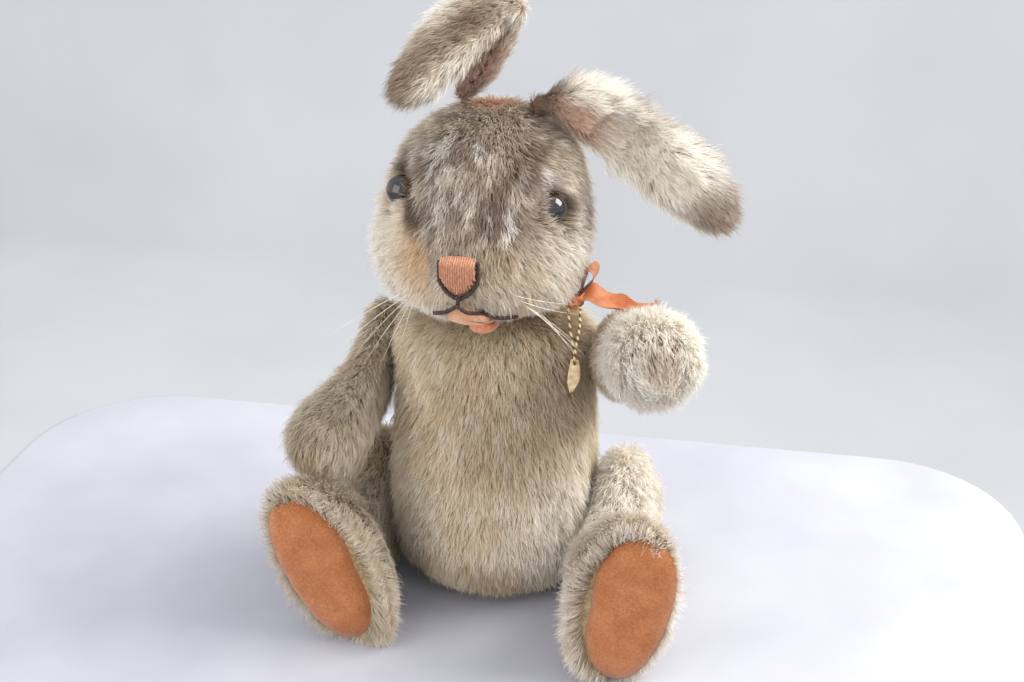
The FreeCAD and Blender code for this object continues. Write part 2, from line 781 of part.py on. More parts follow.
def tag_cord():
    path = rounded_path(CORD_ROUTE)
    first = CORD_ROUTE[1] - CORD_ROUTE[0]
    circle = Part.Wire([Part.Circle(CORD_ROUTE[0], first, CORD_R).toShape()])
    tube = path.makePipeShell([circle], True, False)
    print("cord length", round(path.Length, 1), "volume", round(tube.Volume, 2))
    return tube


def hang_tag():
    """Small card tag with a hole for its cord."""
    low = TAG_TOP - Vector(TAG_SIZE.x / 2, TAG_SIZE.y / 2, TAG_SIZE.z)
    card = box_between(low, low + TAG_SIZE)
    hole = TAG_TOP - Vector(0, 0, TAG_HOLE_DROP)
    return card.cut(cylinder(CORD_R + 0.25, hole - Vector(0, 2, 0), hole + Vector(0, 2, 0)))


# --- write every node --------------------------------------------------------------------------


def export_trunk():
    outer = trunk_outer()
    cover = outer.cut(trunk_inner(CLOTH))
    filling = trunk_inner(CLOTH + SLACK)
    for joint in JOINTS.values():
        cover = cover.cut(joint.hole()).cut(joint.disc_room())
        filling = filling.cut(joint.disc_room()).cut(joint.pin_room())
    save("trunk_cover", cover)
    save("trunk_stuffing", filling)
    save("tail", tail().cut(outer))
    save("shoulder_discs", group([JOINTS["arm_left"].trunk_disc(), JOINTS["arm_right"].trunk_disc()]))
    save("hip_discs", group([JOINTS["leg_left"].trunk_disc(), JOINTS["leg_right"].trunk_disc()]))
    save("neck_lower_disc", JOINTS["neck"].trunk_disc())
    save("trunk_washers", group([joint.trunk_washer() for joint in JOINTS.values()]))
    save("ribbon_band", ribbon_band())
    save("ribbon_bow", ribbon_bow())
    save("tag_cord", tag_cord())
    save("hang_tag", hang_tag())


def export_head():
    outer = head_outer()
    joint = JOINTS["neck"]
    eyes = {side: eye(side) for side in EYE_POINTS}
    shanks = {side: eye_shank(side) for side in EYE_POINTS}
    nose_shape = nose().cut(head_inner(0.6))
    fittings = list(eyes.values()) + list(shanks.values()) + [nose_shape, mouth_lining(), lower_lip()]
    cover = outer.cut(head_inner(CLOTH)).cut(joint.hole())
    filling = head_inner(CLOTH + SLACK).cut(joint.moving_disc_room()).cut(joint.moving_pin_room())
    for fitting in fittings:
        cover = cover.cut(fitting)
        filling = filling.cut(fitting)
    for side in EYE_POINTS:
        filling = filling.cut(eye(side, EYE_ROOM))
    save("head_cover", cover)
    save("head_stuffing", filling)
    save("neck_upper_disc", joint.moving_disc())
    save("neck_washer", joint.moving_washer())
    save("neck_pin", joint.pin())
    for side in EYE_POINTS:
        save("eye_" + side, eyes[side])
    save("eye_shanks", group(list(shanks.values())))
    save("nose", nose_shape)
    save("nose_outline", nose_outline().cut(outer.fuse(nose_shape)))
    save("mouth_stitches", mouth_stitches().cut(outer))
    save("mouth_lining", mouth_lining())
    save("lower_lip", lower_lip())
    save("whiskers", whiskers().cut(outer))


def export_limbs():
    for side in ("left", "right"):
        export_limb("arm_" + side, side, JOINTS["arm_" + side], arm_solid)
        save("arm_" + side + "_claws", claws(side))
        export_limb("leg_" + side, side, JOINTS["leg_" + side], leg_solid)
        save("leg_" + side + "_sole", sole(side))
        save("leg_" + side + "_toes", toe_stitches(side))


def export_ears():
    export_ear("left", EAR_LEFT_BASE, EAR_LEFT_TIP, EAR_LEFT_WIDTH, 1)
    export_ear("right", EAR_RIGHT_BASE, EAR_RIGHT_TIP, EAR_RIGHT_WIDTH, -1)


def main():
    os.makedirs("parts", exist_ok=True)
    export_trunk()
    export_head()
    export_limbs()
    export_ears()


main()
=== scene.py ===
"""Looks of a small jointed mohair rabbit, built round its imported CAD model.

The cloth of each body is a skin made from its CAD solids, and the mohair on it is real strands.
"""
import math

import bmesh
import bpy
import numpy as np
from mathutils import Matrix, Vector, bvhtree, kdtree


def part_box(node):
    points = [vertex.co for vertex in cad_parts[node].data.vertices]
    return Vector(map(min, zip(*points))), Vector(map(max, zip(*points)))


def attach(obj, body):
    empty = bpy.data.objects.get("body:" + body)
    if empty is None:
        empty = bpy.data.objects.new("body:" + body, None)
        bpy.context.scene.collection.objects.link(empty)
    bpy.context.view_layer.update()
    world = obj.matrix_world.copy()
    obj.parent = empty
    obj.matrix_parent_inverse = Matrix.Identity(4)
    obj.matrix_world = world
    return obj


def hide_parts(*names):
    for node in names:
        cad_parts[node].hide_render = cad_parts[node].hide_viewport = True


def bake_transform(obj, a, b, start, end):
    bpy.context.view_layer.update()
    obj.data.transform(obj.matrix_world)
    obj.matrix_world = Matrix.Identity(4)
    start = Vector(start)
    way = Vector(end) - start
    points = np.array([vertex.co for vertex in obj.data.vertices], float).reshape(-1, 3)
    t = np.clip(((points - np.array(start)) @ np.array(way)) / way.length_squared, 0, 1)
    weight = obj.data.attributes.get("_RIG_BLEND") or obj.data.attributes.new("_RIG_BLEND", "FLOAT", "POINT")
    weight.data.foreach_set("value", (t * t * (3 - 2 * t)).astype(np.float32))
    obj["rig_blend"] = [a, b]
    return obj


MM = 0.001
SIGN = {"left": 1, "right": -1}  # the rabbit's left is +X

# --- camera and stage ---------------------------------------------------------------------------
TARGET = Vector((4.8, 0.0, 74.0)) * MM
VIEW_AZIMUTH = math.radians(14.0)
VIEW_ELEVATION = math.radians(25.0)
VIEW_ROLL = math.radians(-1.5)
VIEW_DISTANCE = 0.49
LENS = 60.0

# --- mohair -------------------------------------------------------------------------------------
SKIN_VOXEL = 0.9 * MM
SKIN_SMOOTHING = 3  # rounds
STRAND_STEPS = (0.0, 0.36, 0.72)  # where along a strand its pairs of points lie, before its tip
STRAND_WIDTH = 0.21 * MM
LOCK_PULL = 0.28  # how far a strand's tip leans to its leader's
LOCK_SHARE = 0.08  # about one strand in twelve leads a lock that its neighbours lean to
BAKE_CELLS = 200  # strands along each side of a piece's bake map

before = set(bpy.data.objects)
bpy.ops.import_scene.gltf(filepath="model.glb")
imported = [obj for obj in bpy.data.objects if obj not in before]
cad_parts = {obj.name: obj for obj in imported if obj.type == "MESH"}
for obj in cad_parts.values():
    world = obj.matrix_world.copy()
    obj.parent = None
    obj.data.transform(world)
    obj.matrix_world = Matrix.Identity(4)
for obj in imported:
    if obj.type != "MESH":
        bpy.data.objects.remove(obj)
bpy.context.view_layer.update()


# --- small helpers ------------------------------------------------------------------------------


def linear(red, green, blue):
    """A colour as the eye reads it, 0 to 255, in the renderer's linear scale."""
    values = np.array((red, green, blue), float) / 255
    return np.where(values <= 0.04045, values / 12.92, ((values + 0.055) / 1.055) ** 2.4)


def fade(value, low, high):
    """0 below low, 1 above high, and smooth between them. Low may be the larger."""
    share = np.clip((value - low) / (high - low), 0, 1)
    return share * share * (3 - 2 * share)


def near(points, centre, reach):
    """1 at a centre in millimetres, falling smoothly to 0 at reach."""
    gap = np.linalg.norm(points - np.array(centre, float), axis=1)
    return 1 - fade(gap, reach * 0.35, reach)


def mixed(first, second, share):
    """Row by row mix of two colours or directions."""
    share = np.asarray(share, float)[:, None]
    return first * (1 - share) + second * share


def unit(vectors):
    return vectors / np.maximum(np.linalg.norm(vectors, axis=1, keepdims=True), 1e-9)


def noise(points, size, seed):
    """Smooth random value from 0 to 1 for each point. size is the grain, one number or three."""
    table = np.random.default_rng(seed).random((32, 32, 32))
    scaled = points / np.array(size, float)
    cell = np.floor(scaled).astype(int)
    part = scaled - cell
    part = part * part * (3 - 2 * part)
    total = np.zeros(len(points))
    for corner in np.ndindex(2, 2, 2):
        weight = np.ones(len(points))
        index = []
        for axis in range(3):
            weight = weight * (part[:, axis] if corner[axis] else 1 - part[:, axis])
            index.append((cell[:, axis] + corner[axis]) % 32)
        total += weight * table[index[0], index[1], index[2]]
    return total


def mesh_object(name, points, quads, triangles):
    """New object from points and faces held in numpy arrays."""
    mesh = bpy.data.meshes.new(name)
    corners = np.concatenate([quads.ravel(), triangles.ravel()])
    sizes = np.concatenate([np.full(len(quads), 4), np.full(len(triangles), 3)])
    mesh.vertices.add(len(points))
    mesh.vertices.foreach_set("co", points.astype(np.float32).ravel())
    mesh.loops.add(len(corners))
    mesh.loops.foreach_set("vertex_index", corners.astype(np.int32))
    mesh.polygons.add(len(sizes))
    starts = np.concatenate([[0], np.cumsum(sizes)[:-1]])
    mesh.polygons.foreach_set("loop_start", starts.astype(np.int32))
    mesh.update(calc_edges=True)
    made = bpy.data.objects.new(name, mesh)
    bpy.context.scene.collection.objects.link(made)
    return made


def paint(piece, colours):
    """Give each point of a piece its colour."""
    attribute = piece.data.color_attributes.new("tint", "FLOAT_COLOR", "POINT")
    values = np.ones((len(colours), 4), np.float32)
    values[:, :3] = colours
    attribute.data.foreach_set("color", values.ravel())


def smooth_shading(piece):
    piece.data.polygons.foreach_set("use_smooth", np.ones(len(piece.data.polygons), bool))


def mesh_points(piece):
    points = np.zeros(len(piece.data.vertices) * 3, np.float32)
    piece.data.vertices.foreach_get("co", points)
    return points.reshape(-1, 3).astype(float)


def mesh_normals(piece):
    normals = np.zeros(len(piece.data.vertices) * 3, np.float32)
    piece.data.vertex_normals.foreach_get("vector", normals)
    return normals.reshape(-1, 3).astype(float)


# --- skins --------------------------------------------------------------------------------------


def largest_part(mesh):
    """Which points belong to the connected part that spans the largest box."""
    parent = np.arange(len(mesh.vertices))
    edges = np.zeros(len(mesh.edges) * 2, np.int32)
    mesh.edges.foreach_get("vertices", edges)
    edges = edges.reshape(-1, 2)
    while True:
        lowest = np.minimum(parent[edges[:, 0]], parent[edges[:, 1]])
        before = parent.copy()
        np.minimum.at(parent, edges[:, 0], lowest)
        np.minimum.at(parent, edges[:, 1], lowest)
        parent = parent[parent]
        if np.array_equal(before, parent):
            break
    labels = np.unique(parent)
    points = np.zeros(len(mesh.vertices) * 3, np.float32)
    mesh.vertices.foreach_get("co", points)
    points = points.reshape(-1, 3)
    spans = [np.ptp(points[parent == label], axis=0).prod() for label in labels]
    return parent == labels[int(np.argmax(spans))]


def skin(name, nodes, inset, voxel=SKIN_VOXEL, shaped=None):
    """Outer surface of some CAD nodes together, smoothed, drawn in by inset, and shaped by a function."""
    gathered = bmesh.new()
    for node in nodes:
        gathered.from_mesh(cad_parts[node].data)
    rough = bpy.data.meshes.new(name)
    gathered.to_mesh(rough)
    gathered.free()
    made = bpy.data.objects.new(name, rough)
    bpy.context.scene.collection.objects.link(made)
    remesh = made.modifiers.new("voxels", "REMESH")
    remesh.mode = "VOXEL"
    remesh.voxel_size = voxel
    remeshed = bpy.data.meshes.new_from_object(made.evaluated_get(bpy.context.evaluated_depsgraph_get()))
    made.modifiers.clear()
    made.data = remeshed
    outer = largest_part(remeshed)
    shape = bmesh.new()
    shape.from_mesh(remeshed)
    hidden = [vertex for vertex, keep in zip(shape.verts, outer) if not keep]
    bmesh.ops.delete(shape, geom=hidden, context="VERTS")
    for _ in range(SKIN_SMOOTHING):
        bmesh.ops.smooth_vert(
            shape, verts=shape.verts, factor=0.5, use_axis_x=True, use_axis_y=True, use_axis_z=True
        )
    shape.normal_update()
    for vertex in shape.verts:
        vertex.co -= vertex.normal * inset * MM
    shape.to_mesh(remeshed)
    shape.free()
    if shaped:
        moved = shaped(mesh_points(made) / MM) * MM
        remeshed.vertices.foreach_set("co", moved.astype(np.float32).ravel())
        remeshed.update()
    smooth_shading(made)
    return made


# --- mohair strands -----------------------------------------------------------------------------


def scatter(piece, count, rng):
    """Points spread evenly over a piece, and the surface's direction at each."""
    mesh = piece.data
    mesh.calc_loop_triangles()
    corners = np.zeros(len(mesh.loop_triangles) * 3, np.int32)
    mesh.loop_triangles.foreach_get("vertices", corners)
    corners = corners.reshape(-1, 3)
    points = mesh_points(piece)
    normals = mesh_normals(piece)
    first, second, third = (points[corners[:, side]] for side in range(3))
    areas = np.linalg.norm(np.cross(second - first, third - first), axis=1)
    chosen = rng.choice(len(areas), count, p=areas / areas.sum())
    root = np.sqrt(rng.random(count))
    along = rng.random(count)
    shares = np.stack([1 - root, root * (1 - along), root * along], axis=1)
    picked = corners[chosen]
    roots = sum(points[picked[:, side]] * shares[:, side : side + 1] for side in range(3))
    surface = sum(normals[picked[:, side]] * shares[:, side : side + 1] for side in range(3))
    return roots, unit(surface)


def nearest_leader(roots, leaders):
    """Which lock each strand belongs to."""
    tree = kdtree.KDTree(leaders)
    for index in range(leaders):
        tree.insert(roots[index], index)
    tree.balance()
    return np.array([tree.find(root)[1] for root in roots])


def strand_faces(count):
    """Faces of a coat: each strand is a narrow blade of three pairs of points and a tip."""
    steps = len(STRAND_STEPS)
    per_strand = 2 * steps + 1
    start = np.arange(count)[:, None, None] * per_strand
    quad = np.array([[2 * step, 2 * step + 1, 2 * step + 3, 2 * step + 2] for step in range(steps - 1)])
    tip = np.array([[2 * steps - 2, 2 * steps - 1, 2 * steps]])
    return (start + quad).reshape(-1, 4), (start + tip).reshape(-1, 3)


def bake_cells(piece, count):
    """Give each strand its own small cell of the piece's bake map, root below and tip above."""
    heights = np.repeat(np.array(STRAND_STEPS), 2)
    across = np.tile([0.3, 0.7], len(STRAND_STEPS))
    cell = np.stack([np.append(across, 0.5), np.append(0.15 + 0.7 * heights, 0.85)], axis=1)
    corner = np.stack([np.arange(count) % BAKE_CELLS, np.arange(count) // BAKE_CELLS], axis=1)
    places = ((corner[:, None, :] + cell[None, :, :]) / BAKE_CELLS).reshape(-1, 2)
    used = np.zeros(len(piece.data.loops), np.int32)
    piece.data.loops.foreach_get("vertex_index", used)
    layer = piece.data.uv_layers.new(name="OFBake")
    layer.uv.foreach_set("vector", places[used].astype(np.float32).ravel())


def coat(name, piece, count, length, lift, flow, shade, seed, bare=None):
    """Mohair on a skin. length, lift, flow, shade and bare are worked out from the roots, in millimetres.

    lift is how high a strand's tip stands, as a share of its length. flow is the way that the pile lies.
    shade gives the root's and the tip's colour. Roots where bare is true grow nothing.
    """
    rng = np.random.default_rng(seed)
    roots, normals = scatter(piece, count, rng)
    if bare is not None:
        keep = ~bare(roots / MM)
        roots, normals = roots[keep], normals[keep]
    count = len(roots)
    leaders = max(int(count * LOCK_SHARE), 8)
    lock = nearest_leader(roots, leaders)
    places = roots / MM

    swing = np.radians(rng.normal(0, 10, leaders)[lock] + rng.normal(0, 13, count))
    lying = flow(places, normals)
    lying = unit(lying - normals * (lying * normals).sum(1, keepdims=True))
    sideways = np.cross(normals, lying)
    lying = lying * np.cos(swing)[:, None] + sideways * np.sin(swing)[:, None]
    sideways = np.cross(normals, lying)

    long = length(places) * MM * (1 + rng.normal(0, 0.05, leaders)[lock] + rng.normal(0, 0.15, count))
    rise = lift(places) * (1 + rng.normal(0, 0.08, leaders)[lock] + rng.normal(0, 0.2, count))
    rise = np.clip(rise, 0.05, 0.97)
    reach = np.sqrt(1 - rise**2)
    wave = rng.normal(0, 0.05, count) * long

    levels = []
    for share in (*STRAND_STEPS, 1.0):
        up = long * rise * (1.6 * share - 0.6 * share**2)
        out = long * reach * (0.45 * share + 0.55 * share**2)
        bend = wave * math.sin(share * math.pi)
        level = roots + normals * up[:, None] + lying * out[:, None] + sideways * bend[:, None]
        levels.append(level)
    for index, share in enumerate((*STRAND_STEPS, 1.0)):
        leader = levels[index][:leaders][lock]
        levels[index] = levels[index] + (leader - levels[index]) * (LOCK_PULL * share**2)

    turned = np.radians(rng.normal(0, 30, count))[:, None]
    flat = unit(sideways * np.cos(turned) + normals * np.sin(turned))
    rows = []
    for index, share in enumerate(STRAND_STEPS):
        half = flat * STRAND_WIDTH * 0.5 * (1 - 0.55 * share)
        rows.extend([levels[index] - half, levels[index] + half])
    rows.append(levels[-1])
    points = np.stack(rows, axis=1).reshape(-1, 3)
    quads, triangles = strand_faces(count)
    made = mesh_object(name, points, quads, triangles)

    root_colour, tip_colour = shade(places)
    bright = (1 + rng.normal(0, 0.05, leaders)[lock] + rng.normal(0, 0.06, count))[:, None]
    shares = np.append(np.repeat(np.array(STRAND_STEPS), 2), 1.0)
    colours = [(root_colour * (1 - share) + tip_colour * share) * bright for share in shares]
    paint(made, np.clip(np.stack(colours, axis=1).reshape(-1, 3), 0, 1))
    smooth_shading(made)
    bake_cells(made, count)
    return made


# --- how the mohair lies, how long it is and what colour. Places are in millimetres -------------

CREAM = linear(247, 244, 237)
PALE = linear(234, 225, 209)
STRAW = linear(234, 223, 200)
BEIGE = linear(208, 188, 154)
KHAKI = linear(170, 147, 112)
GOLD = linear(206, 176, 134)
BROWN = linear(128, 100, 76)
RUSSET = linear(206, 160, 128)
DARK = linear(70, 48, 34)
PINK = linear(216, 172, 144)


def along_line(places, line):
    """How far each place is from a line through some points."""
    nearest = np.full(len(places), 1e9)
    for start, end in zip(line, line[1:]):
        start = np.array(start, float)
        way = np.array(end, float) - start
        share = np.clip((places - start) @ way / (way @ way), 0, 1)
        nearest = np.minimum(nearest, np.linalg.norm(places - start - share[:, None] * way, axis=1))
    return nearest


def toward(places, way):
    return np.tile(np.array(way, float), (len(places), 1))


NOSE = np.array((0.5, -37.6, 110.6))
EYES = {"left": np.array((20.6, -16.6, 121.6)), "right": np.array((-20.6, -16.6, 124.4))}
EYE_R = 4.2
LEFT_STREAK = ((20.0, 2.0, 140.0), (14.3, -13.1, 136.4), (8.7, -24.4, 128.9), (6.0, -30.0, 122.0))


def before_eye(places, middle):
    """1 just in front of an eye, where the pile lies back over its edge."""
    gap = places - middle
    near_it = 1 - fade(np.linalg.norm(gap, axis=1), EYE_R + 1.0, EYE_R + 4.5)
    return near_it * fade(-gap[:, 1] - 0.35 * gap[:, 0] * np.sign(middle[0]), 0.5, 2.5)


def behind_eye(places, middle):
    """1 just behind an eye, where the pile stands up round it."""
    gap = places - middle
    near_it = 1 - fade(np.linalg.norm(gap, axis=1), EYE_R + 2.0, EYE_R + 6.0)
    return near_it * fade(gap[:, 1], 0.0, 2.5)


def head_flow(places, normals):
    """Down the forehead, out over the cheeks, and back from the nose along the muzzle."""
    side = np.sign(places[:, 0])
    cheek = np.stack([side * 0.45, np.full(len(places), 0.35), np.full(len(places), -0.9)], axis=1)
    lying = mixed(toward(places, (0, -0.5, -1)), cheek, fade(np.abs(places[:, 0]), 7, 17))
    lying = mixed(lying, toward(places, (0, 0.1, -1)), fade(places[:, 1], -4, 8))
    lying = mixed(lying, toward(places, (0, -0.8, -0.5)), fade(places[:, 2], 138, 143))
    outward = unit(places - NOSE - np.array((0, 6, 3)))
    muzzle = near(places, NOSE, 20) * (1 - fade(places[:, 2], 108, 114))
    lying = mixed(lying, outward, muzzle)
    for middle in EYES.values():
        back = toward(places, (0.5 * np.sign(middle[0]), 1.0, -0.15))
        lying = mixed(lying, back, before_eye(places, middle))
    return lying


def head_length(places):
    long = 4.6 + 1.4 * fade(np.abs(places[:, 0]), 14, 22)
    long += 3.4 * near(places, (-25.0, -8.0, 106.0), 20)
    long -= 1.2 * near(places, NOSE, 16)
    over_mouth = near(places, (2.0, -37.0, 101.0), 9)
    long -= 1.4 * over_mouth
    for middle in EYES.values():
        gap = np.linalg.norm(places - middle, axis=1)
        shorter = 0.22 + 0.78 * fade(gap, EYE_R + 0.6, EYE_R + 5.5)
        long *= np.maximum(shorter, 0.8 * before_eye(places, middle) + behind_eye(places, middle))
    return long


def head_lift(places):
    lift = 0.52 + 0.10 * fade(np.abs(places[:, 0]), 14, 24) - 0.12 * near(places, NOSE, 14)
    for middle in EYES.values():
        lift += 0.12 * before_eye(places, middle) + 0.36 * behind_eye(places, middle)
    return lift


def seam_across(places):
    """How far each place is to the nose's side of the seam that edges the rabbit's right cheek panel."""
    seam = np.interp(places[:, 2], (98, 105, 115, 125, 133), (-5.6, -6.1, -8.1, -13.1, -16.5))
    return places[:, 0] - seam


def head_shade(places):
    """Grey-brown and white flecks on the forehead, gold and cream cheeks, and dark markings."""
    flecks = fade(noise(places, (1.1, 3.6, 4.4), 11), 0.50, 0.66)
    patches = noise(places, 8.0, 12)
    front = 1 - fade(places[:, 1], -14, -4)
    grey = fade(places[:, 2], 103, 118) * (0.60 + 0.34 * fade(patches, 0.3, 0.7))
    grey *= 1 - 0.35 * fade(np.abs(places[:, 0]), 12, 20)
    grey *= 1 - front * fade(-seam_across(places), -0.4, 0.6)
    root = mixed(BEIGE, BROWN, 0.8 * grey)
    tip = mixed(PALE, CREAM, fade(patches, 0.35, 0.75))
    tip = mixed(tip, BROWN, 0.78 * grey * (1 - flecks))
    panel = fade(-seam_across(places), -0.2, 0.5) * front * fade(places[:, 2], 98, 112)
    panel *= 1 - fade(places[:, 2], 126, 131)
    panel *= 0.35 + 0.65 * fade(places[:, 0], -17.5, -11.0)
    root = mixed(root, GOLD, 0.8 * panel)
    tip = mixed(tip, GOLD * 1.25, 0.65 * panel)
    pale = 0.35 * near(places, (23.0, -20.0, 106.0), 18) + fade(-places[:, 0], 16.0, 22.0)
    pale = np.clip(pale, 0, 1)
    pale *= 1 - fade(places[:, 2], 114, 124)
    root = mixed(root, BEIGE, pale)
    tip = mixed(tip, CREAM, pale)
    muzzle = near(places, (8.0, -34.0, 106.0), 18) * fade(places[:, 0], -2, 4)
    root = mixed(root, KHAKI, 0.5 * muzzle)
    tip = mixed(tip, BEIGE, 0.45 * muzzle)
    marks = 0.75 * (1 - fade(along_line(places, LEFT_STREAK), 1.0, 5.5))
    brow = fade(-seam_across(places), -0.6, 0.4) * (1 - fade(-seam_across(places), 3.4, 6.0))
    brow *= fade(places[:, 2], 115, 121) * (1 - fade(places[:, 2], 136, 140)) * front
    marks = np.maximum(marks, brow)
    marks = np.maximum(marks, 0.45 * near(places, (24.0, -7.0, 119.0), 9))
    marks *= 1 - 0.45 * flecks * (1 - brow)
    root = mixed(root, DARK, marks)
    tip = mixed(tip, BROWN * 0.85, 0.9 * marks)
    crown = near(places, (-1.0, 6.0, 143.5), 10)
    root = mixed(root, RUSSET * 0.9, 0.8 * crown)
    return root, mixed(tip, RUSSET * 1.15, 0.6 * crown)


def head_bare(places):
    """The nose, the mouth and the eyes."""
    front = places[:, 1] < -24
    across = places[:, 0] - NOSE[0]
    nose = np.hypot(across / 4.2, (places[:, 2] - NOSE[2]) / 4.4) < 1
    mouth = np.hypot((across - 1.6) / 7.4, (places[:, 2] - 94.6) / 5.2) < 1
    hidden = (front & nose) | ((places[:, 1] < -14) & mouth)
    for middle in EYES.values():
        reach = EYE_R + 0.7 - 1.2 * before_eye(places, middle)
        hidden |= np.linalg.norm(places - middle, axis=1) < reach
    return hidden


def trunk_flow(places, normals):
    lying = toward(places, (0, -0.12, -1.0))
    lying[:, 0] = places[:, 0] * 0.006
    under = np.stack([places[:, 0] * 0.03, places[:, 1] * 0.03, np.full(len(places), -0.2)], axis=1)
    return mixed(under, lying, fade(places[:, 2], 3, 14))


def belly_side(places):
    """1 on the rounded front corners of the belly, where the pile stands out beside the legs."""
    return fade(np.abs(places[:, 0]), 17, 25) * fade(-places[:, 1], 7, 16) * fade(places[:, 2], 6, 14)


def trunk_length(places):
    long = 4.8 - 0.8 * fade(places[:, 2], 78, 84) - 2.0 * (1 - fade(places[:, 2], 2, 10))
    return long + 2.0 * belly_side(places) * (1 - fade(places[:, 2], 50, 66))


def trunk_lift(places):
    """Upright, but flat against the limbs at the sides and under the seat."""
    side = fade(np.abs(places[:, 0]), 25, 27) * fade(places[:, 2], 88, 84) * (1 - belly_side(places))
    lift = 0.60 - 0.26 * side
    return lift - 0.45 * (1 - fade(places[:, 2], 0.5, 5))


def trunk_shade(places):
    """Beige, with painted shade under the rabbit's left cheek, on the chest and low between the legs, and
    cream at the sides of the belly, also painted light on the rabbit's left, the window side.
    """
    patches = noise(places, 8.0, 21)
    streaks = noise(places, (2.2, 2.2, 6.0), 22)
    root = mixed(BEIGE, STRAW, 0.35 * fade(patches, 0.3, 0.7))
    tip = mixed(BEIGE, STRAW, 0.55 + 0.45 * fade(patches, 0.3, 0.75))
    tip = mixed(tip, CREAM, 0.5 * fade(streaks, 0.5, 0.8))
    # Cream on both sides of the lower belly; on the rabbit's left, the window side, the stronger cream is
    # also painted light.
    bright = near(places, (24.0, -18.0, 26.0), 26) + 0.5 * near(places, (-20.0, -22.0, 30.0), 20)
    bright = np.clip(bright, 0, 1)
    tip = mixed(tip, CREAM, bright)
    # Painted shade: darker fur under the rabbit's left cheek, on the chest, and low at the front between the
    # legs.
    shadow = 0.6 * near(places, (20.0, -17.0, 68.0), 20)
    shadow = np.maximum(shadow, 0.35 * near(places, (10.0, -26.0, 58.0), 22))
    shadow = np.maximum(shadow, 0.45 * near(places, (6.0, -28.0, 10.0), 14))
    root = mixed(root, BROWN, 0.6 * shadow)
    tip = mixed(tip, KHAKI, 0.75 * shadow)
    return root, tip


ARM_ENDS = {
    "left": (np.array((36.8, 9.0, 65.4)), np.array((53.8, -44.2, 88.6))),
    "right": (np.array((-36.6, 7.6, 77.0)), np.array((-43.0, -42.6, 53.0))),
}


def arm_share(side, places):
    """0 at the shoulder and 1 at the paw's tip."""
    start, end = ARM_ENDS[side]
    return (places - start) @ (end - start) / ((end - start) @ (end - start))


def arm_flow(side):
    start, end = ARM_ENDS[side]
    along = (end - start) / np.linalg.norm(end - start)

    def flow(places, normals):
        return toward(places, along) + np.array((0, 0, -0.45))

    return flow


def arm_shape(side):
    """Slimmer upper arm, and a paw a little higher than its CAD piece's."""

    def shaped(places):
        share = arm_share(side, places)
        upper = 1 - fade(share, 0.35, 0.8)
        outer = fade(np.abs(places[:, 0]), 31.0, 40.0)
        slimmer = {"left": 1.0, "right": 5.2}[side] * upper * outer
        slimmer += {"left": 0.0, "right": 2.2}[side] * fade(share, 0.25, 0.7)
        raised = {"left": 2.6, "right": 0.0}[side] * fade(share, 0.1, 1.0)
        moved = places.copy()
        moved[:, 0] -= np.sign(places[:, 0]) * slimmer
        moved[:, 2] += raised
        return moved

    return shaped


def limb_lift(places):
    """Flat where the limb turns against the trunk."""
    return 0.60 - 0.32 * fade(-np.abs(places[:, 0]), -33.0, -31.5)


def arm_shade(side):
    def shade(places):
        share = arm_share(side, places)
        patches = noise(places, 6.0, 31)
        streaks = noise(places, (2.5, 6.0, 2.5), 32)
        paw = fade(share, 0.45, 0.75)
        # Painted shade: the rabbit's right arm, away from the window, gets a less pale paw.
        if side == "right":
            paw = 0.25 * paw
        root = mixed(KHAKI, PALE, 0.4 + 0.6 * paw)
        tip = mixed(BEIGE, PALE, 0.45 + 0.4 * fade(patches, 0.3, 0.7))
        tip = mixed(tip, CREAM, np.clip(paw + 0.3 * fade(streaks, 0.5, 0.8), 0, 1))
        # Painted shade: khaki tips towards the rabbit's right paw, on the side away from the window.
        if side == "right":
            tip = mixed(tip, KHAKI, 0.4 * fade(share, 0.6, 0.85))
        end = ARM_ENDS[side][1]
        worn = near(places, end + np.array((0, 2, 3)), 8)
        root = mixed(root, BROWN, 0.6 * worn)
        return root, mixed(tip, BEIGE, 0.6 * worn)

    return shade


SOLE_LEAN = {"left": 13.0, "right": 23.0}  # how far each toe leans outward, in degrees
SOLE_HALF = (12.1, 23.3)
SOLE_OUT = 1.2  # the felt is glued on this far outward of the foot's middle


def sole_middle(side):
    low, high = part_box("leg_" + side + "_sole")
    middle = np.array((low + high) / 2) / MM
    return middle + np.array((SIGN[side] * SOLE_OUT, 0, 0))


def sole_lean(side):
    return math.radians(SOLE_LEAN[side]) * SIGN[side]


def sole_place(side, places):
    """Where places are on a sole: across it and along it from heel to toe, and in front of it."""
    lean = sole_lean(side)
    gap = places - sole_middle(side)
    across = gap[:, 0] * math.cos(lean) - gap[:, 2] * math.sin(lean)
    along = gap[:, 0] * math.sin(lean) + gap[:, 2] * math.cos(lean)
    return across, along, gap[:, 1]


def leg_shape(side):
    """A foot that is a little wider on its inner side than its CAD piece."""
    wider = {"left": 1.2, "right": 3.2}[side]

    def shaped(places):
        inner = fade(-np.abs(places[:, 0]), -44, -28)
        moved = places.copy()
        moved[:, 0] -= np.sign(places[:, 0]) * wider * inner * fade(-places[:, 1], 38, 48)
        return moved

    return shaped


def leg_flow(side):
    """Along the leg to the foot, and forward round the edge of the sole."""

    def flow(places, normals):
        across, along, back = sole_place(side, places)
        lean = sole_lean(side)
        lying = toward(places, (0, -1.0, -0.35))
        outward = np.stack([across * math.cos(lean) + along * math.sin(lean), np.zeros(len(places)),
                            along * math.cos(lean) - across * math.sin(lean)], axis=1)
        rim = unit(outward) * 0.75 + np.array((0, -1.0, 0))
        return mixed(rim, lying, fade(back, 4, 14))

    return flow


def leg_length(side):
    """Longer round the edge of the sole, and short underneath."""

    def length(places):
        rim = fade(-sole_place(side, places)[2], -9, -3)
        return 5.0 + 1.2 * rim - 2.2 * (1 - fade(places[:, 2], 1, 6))

    return length


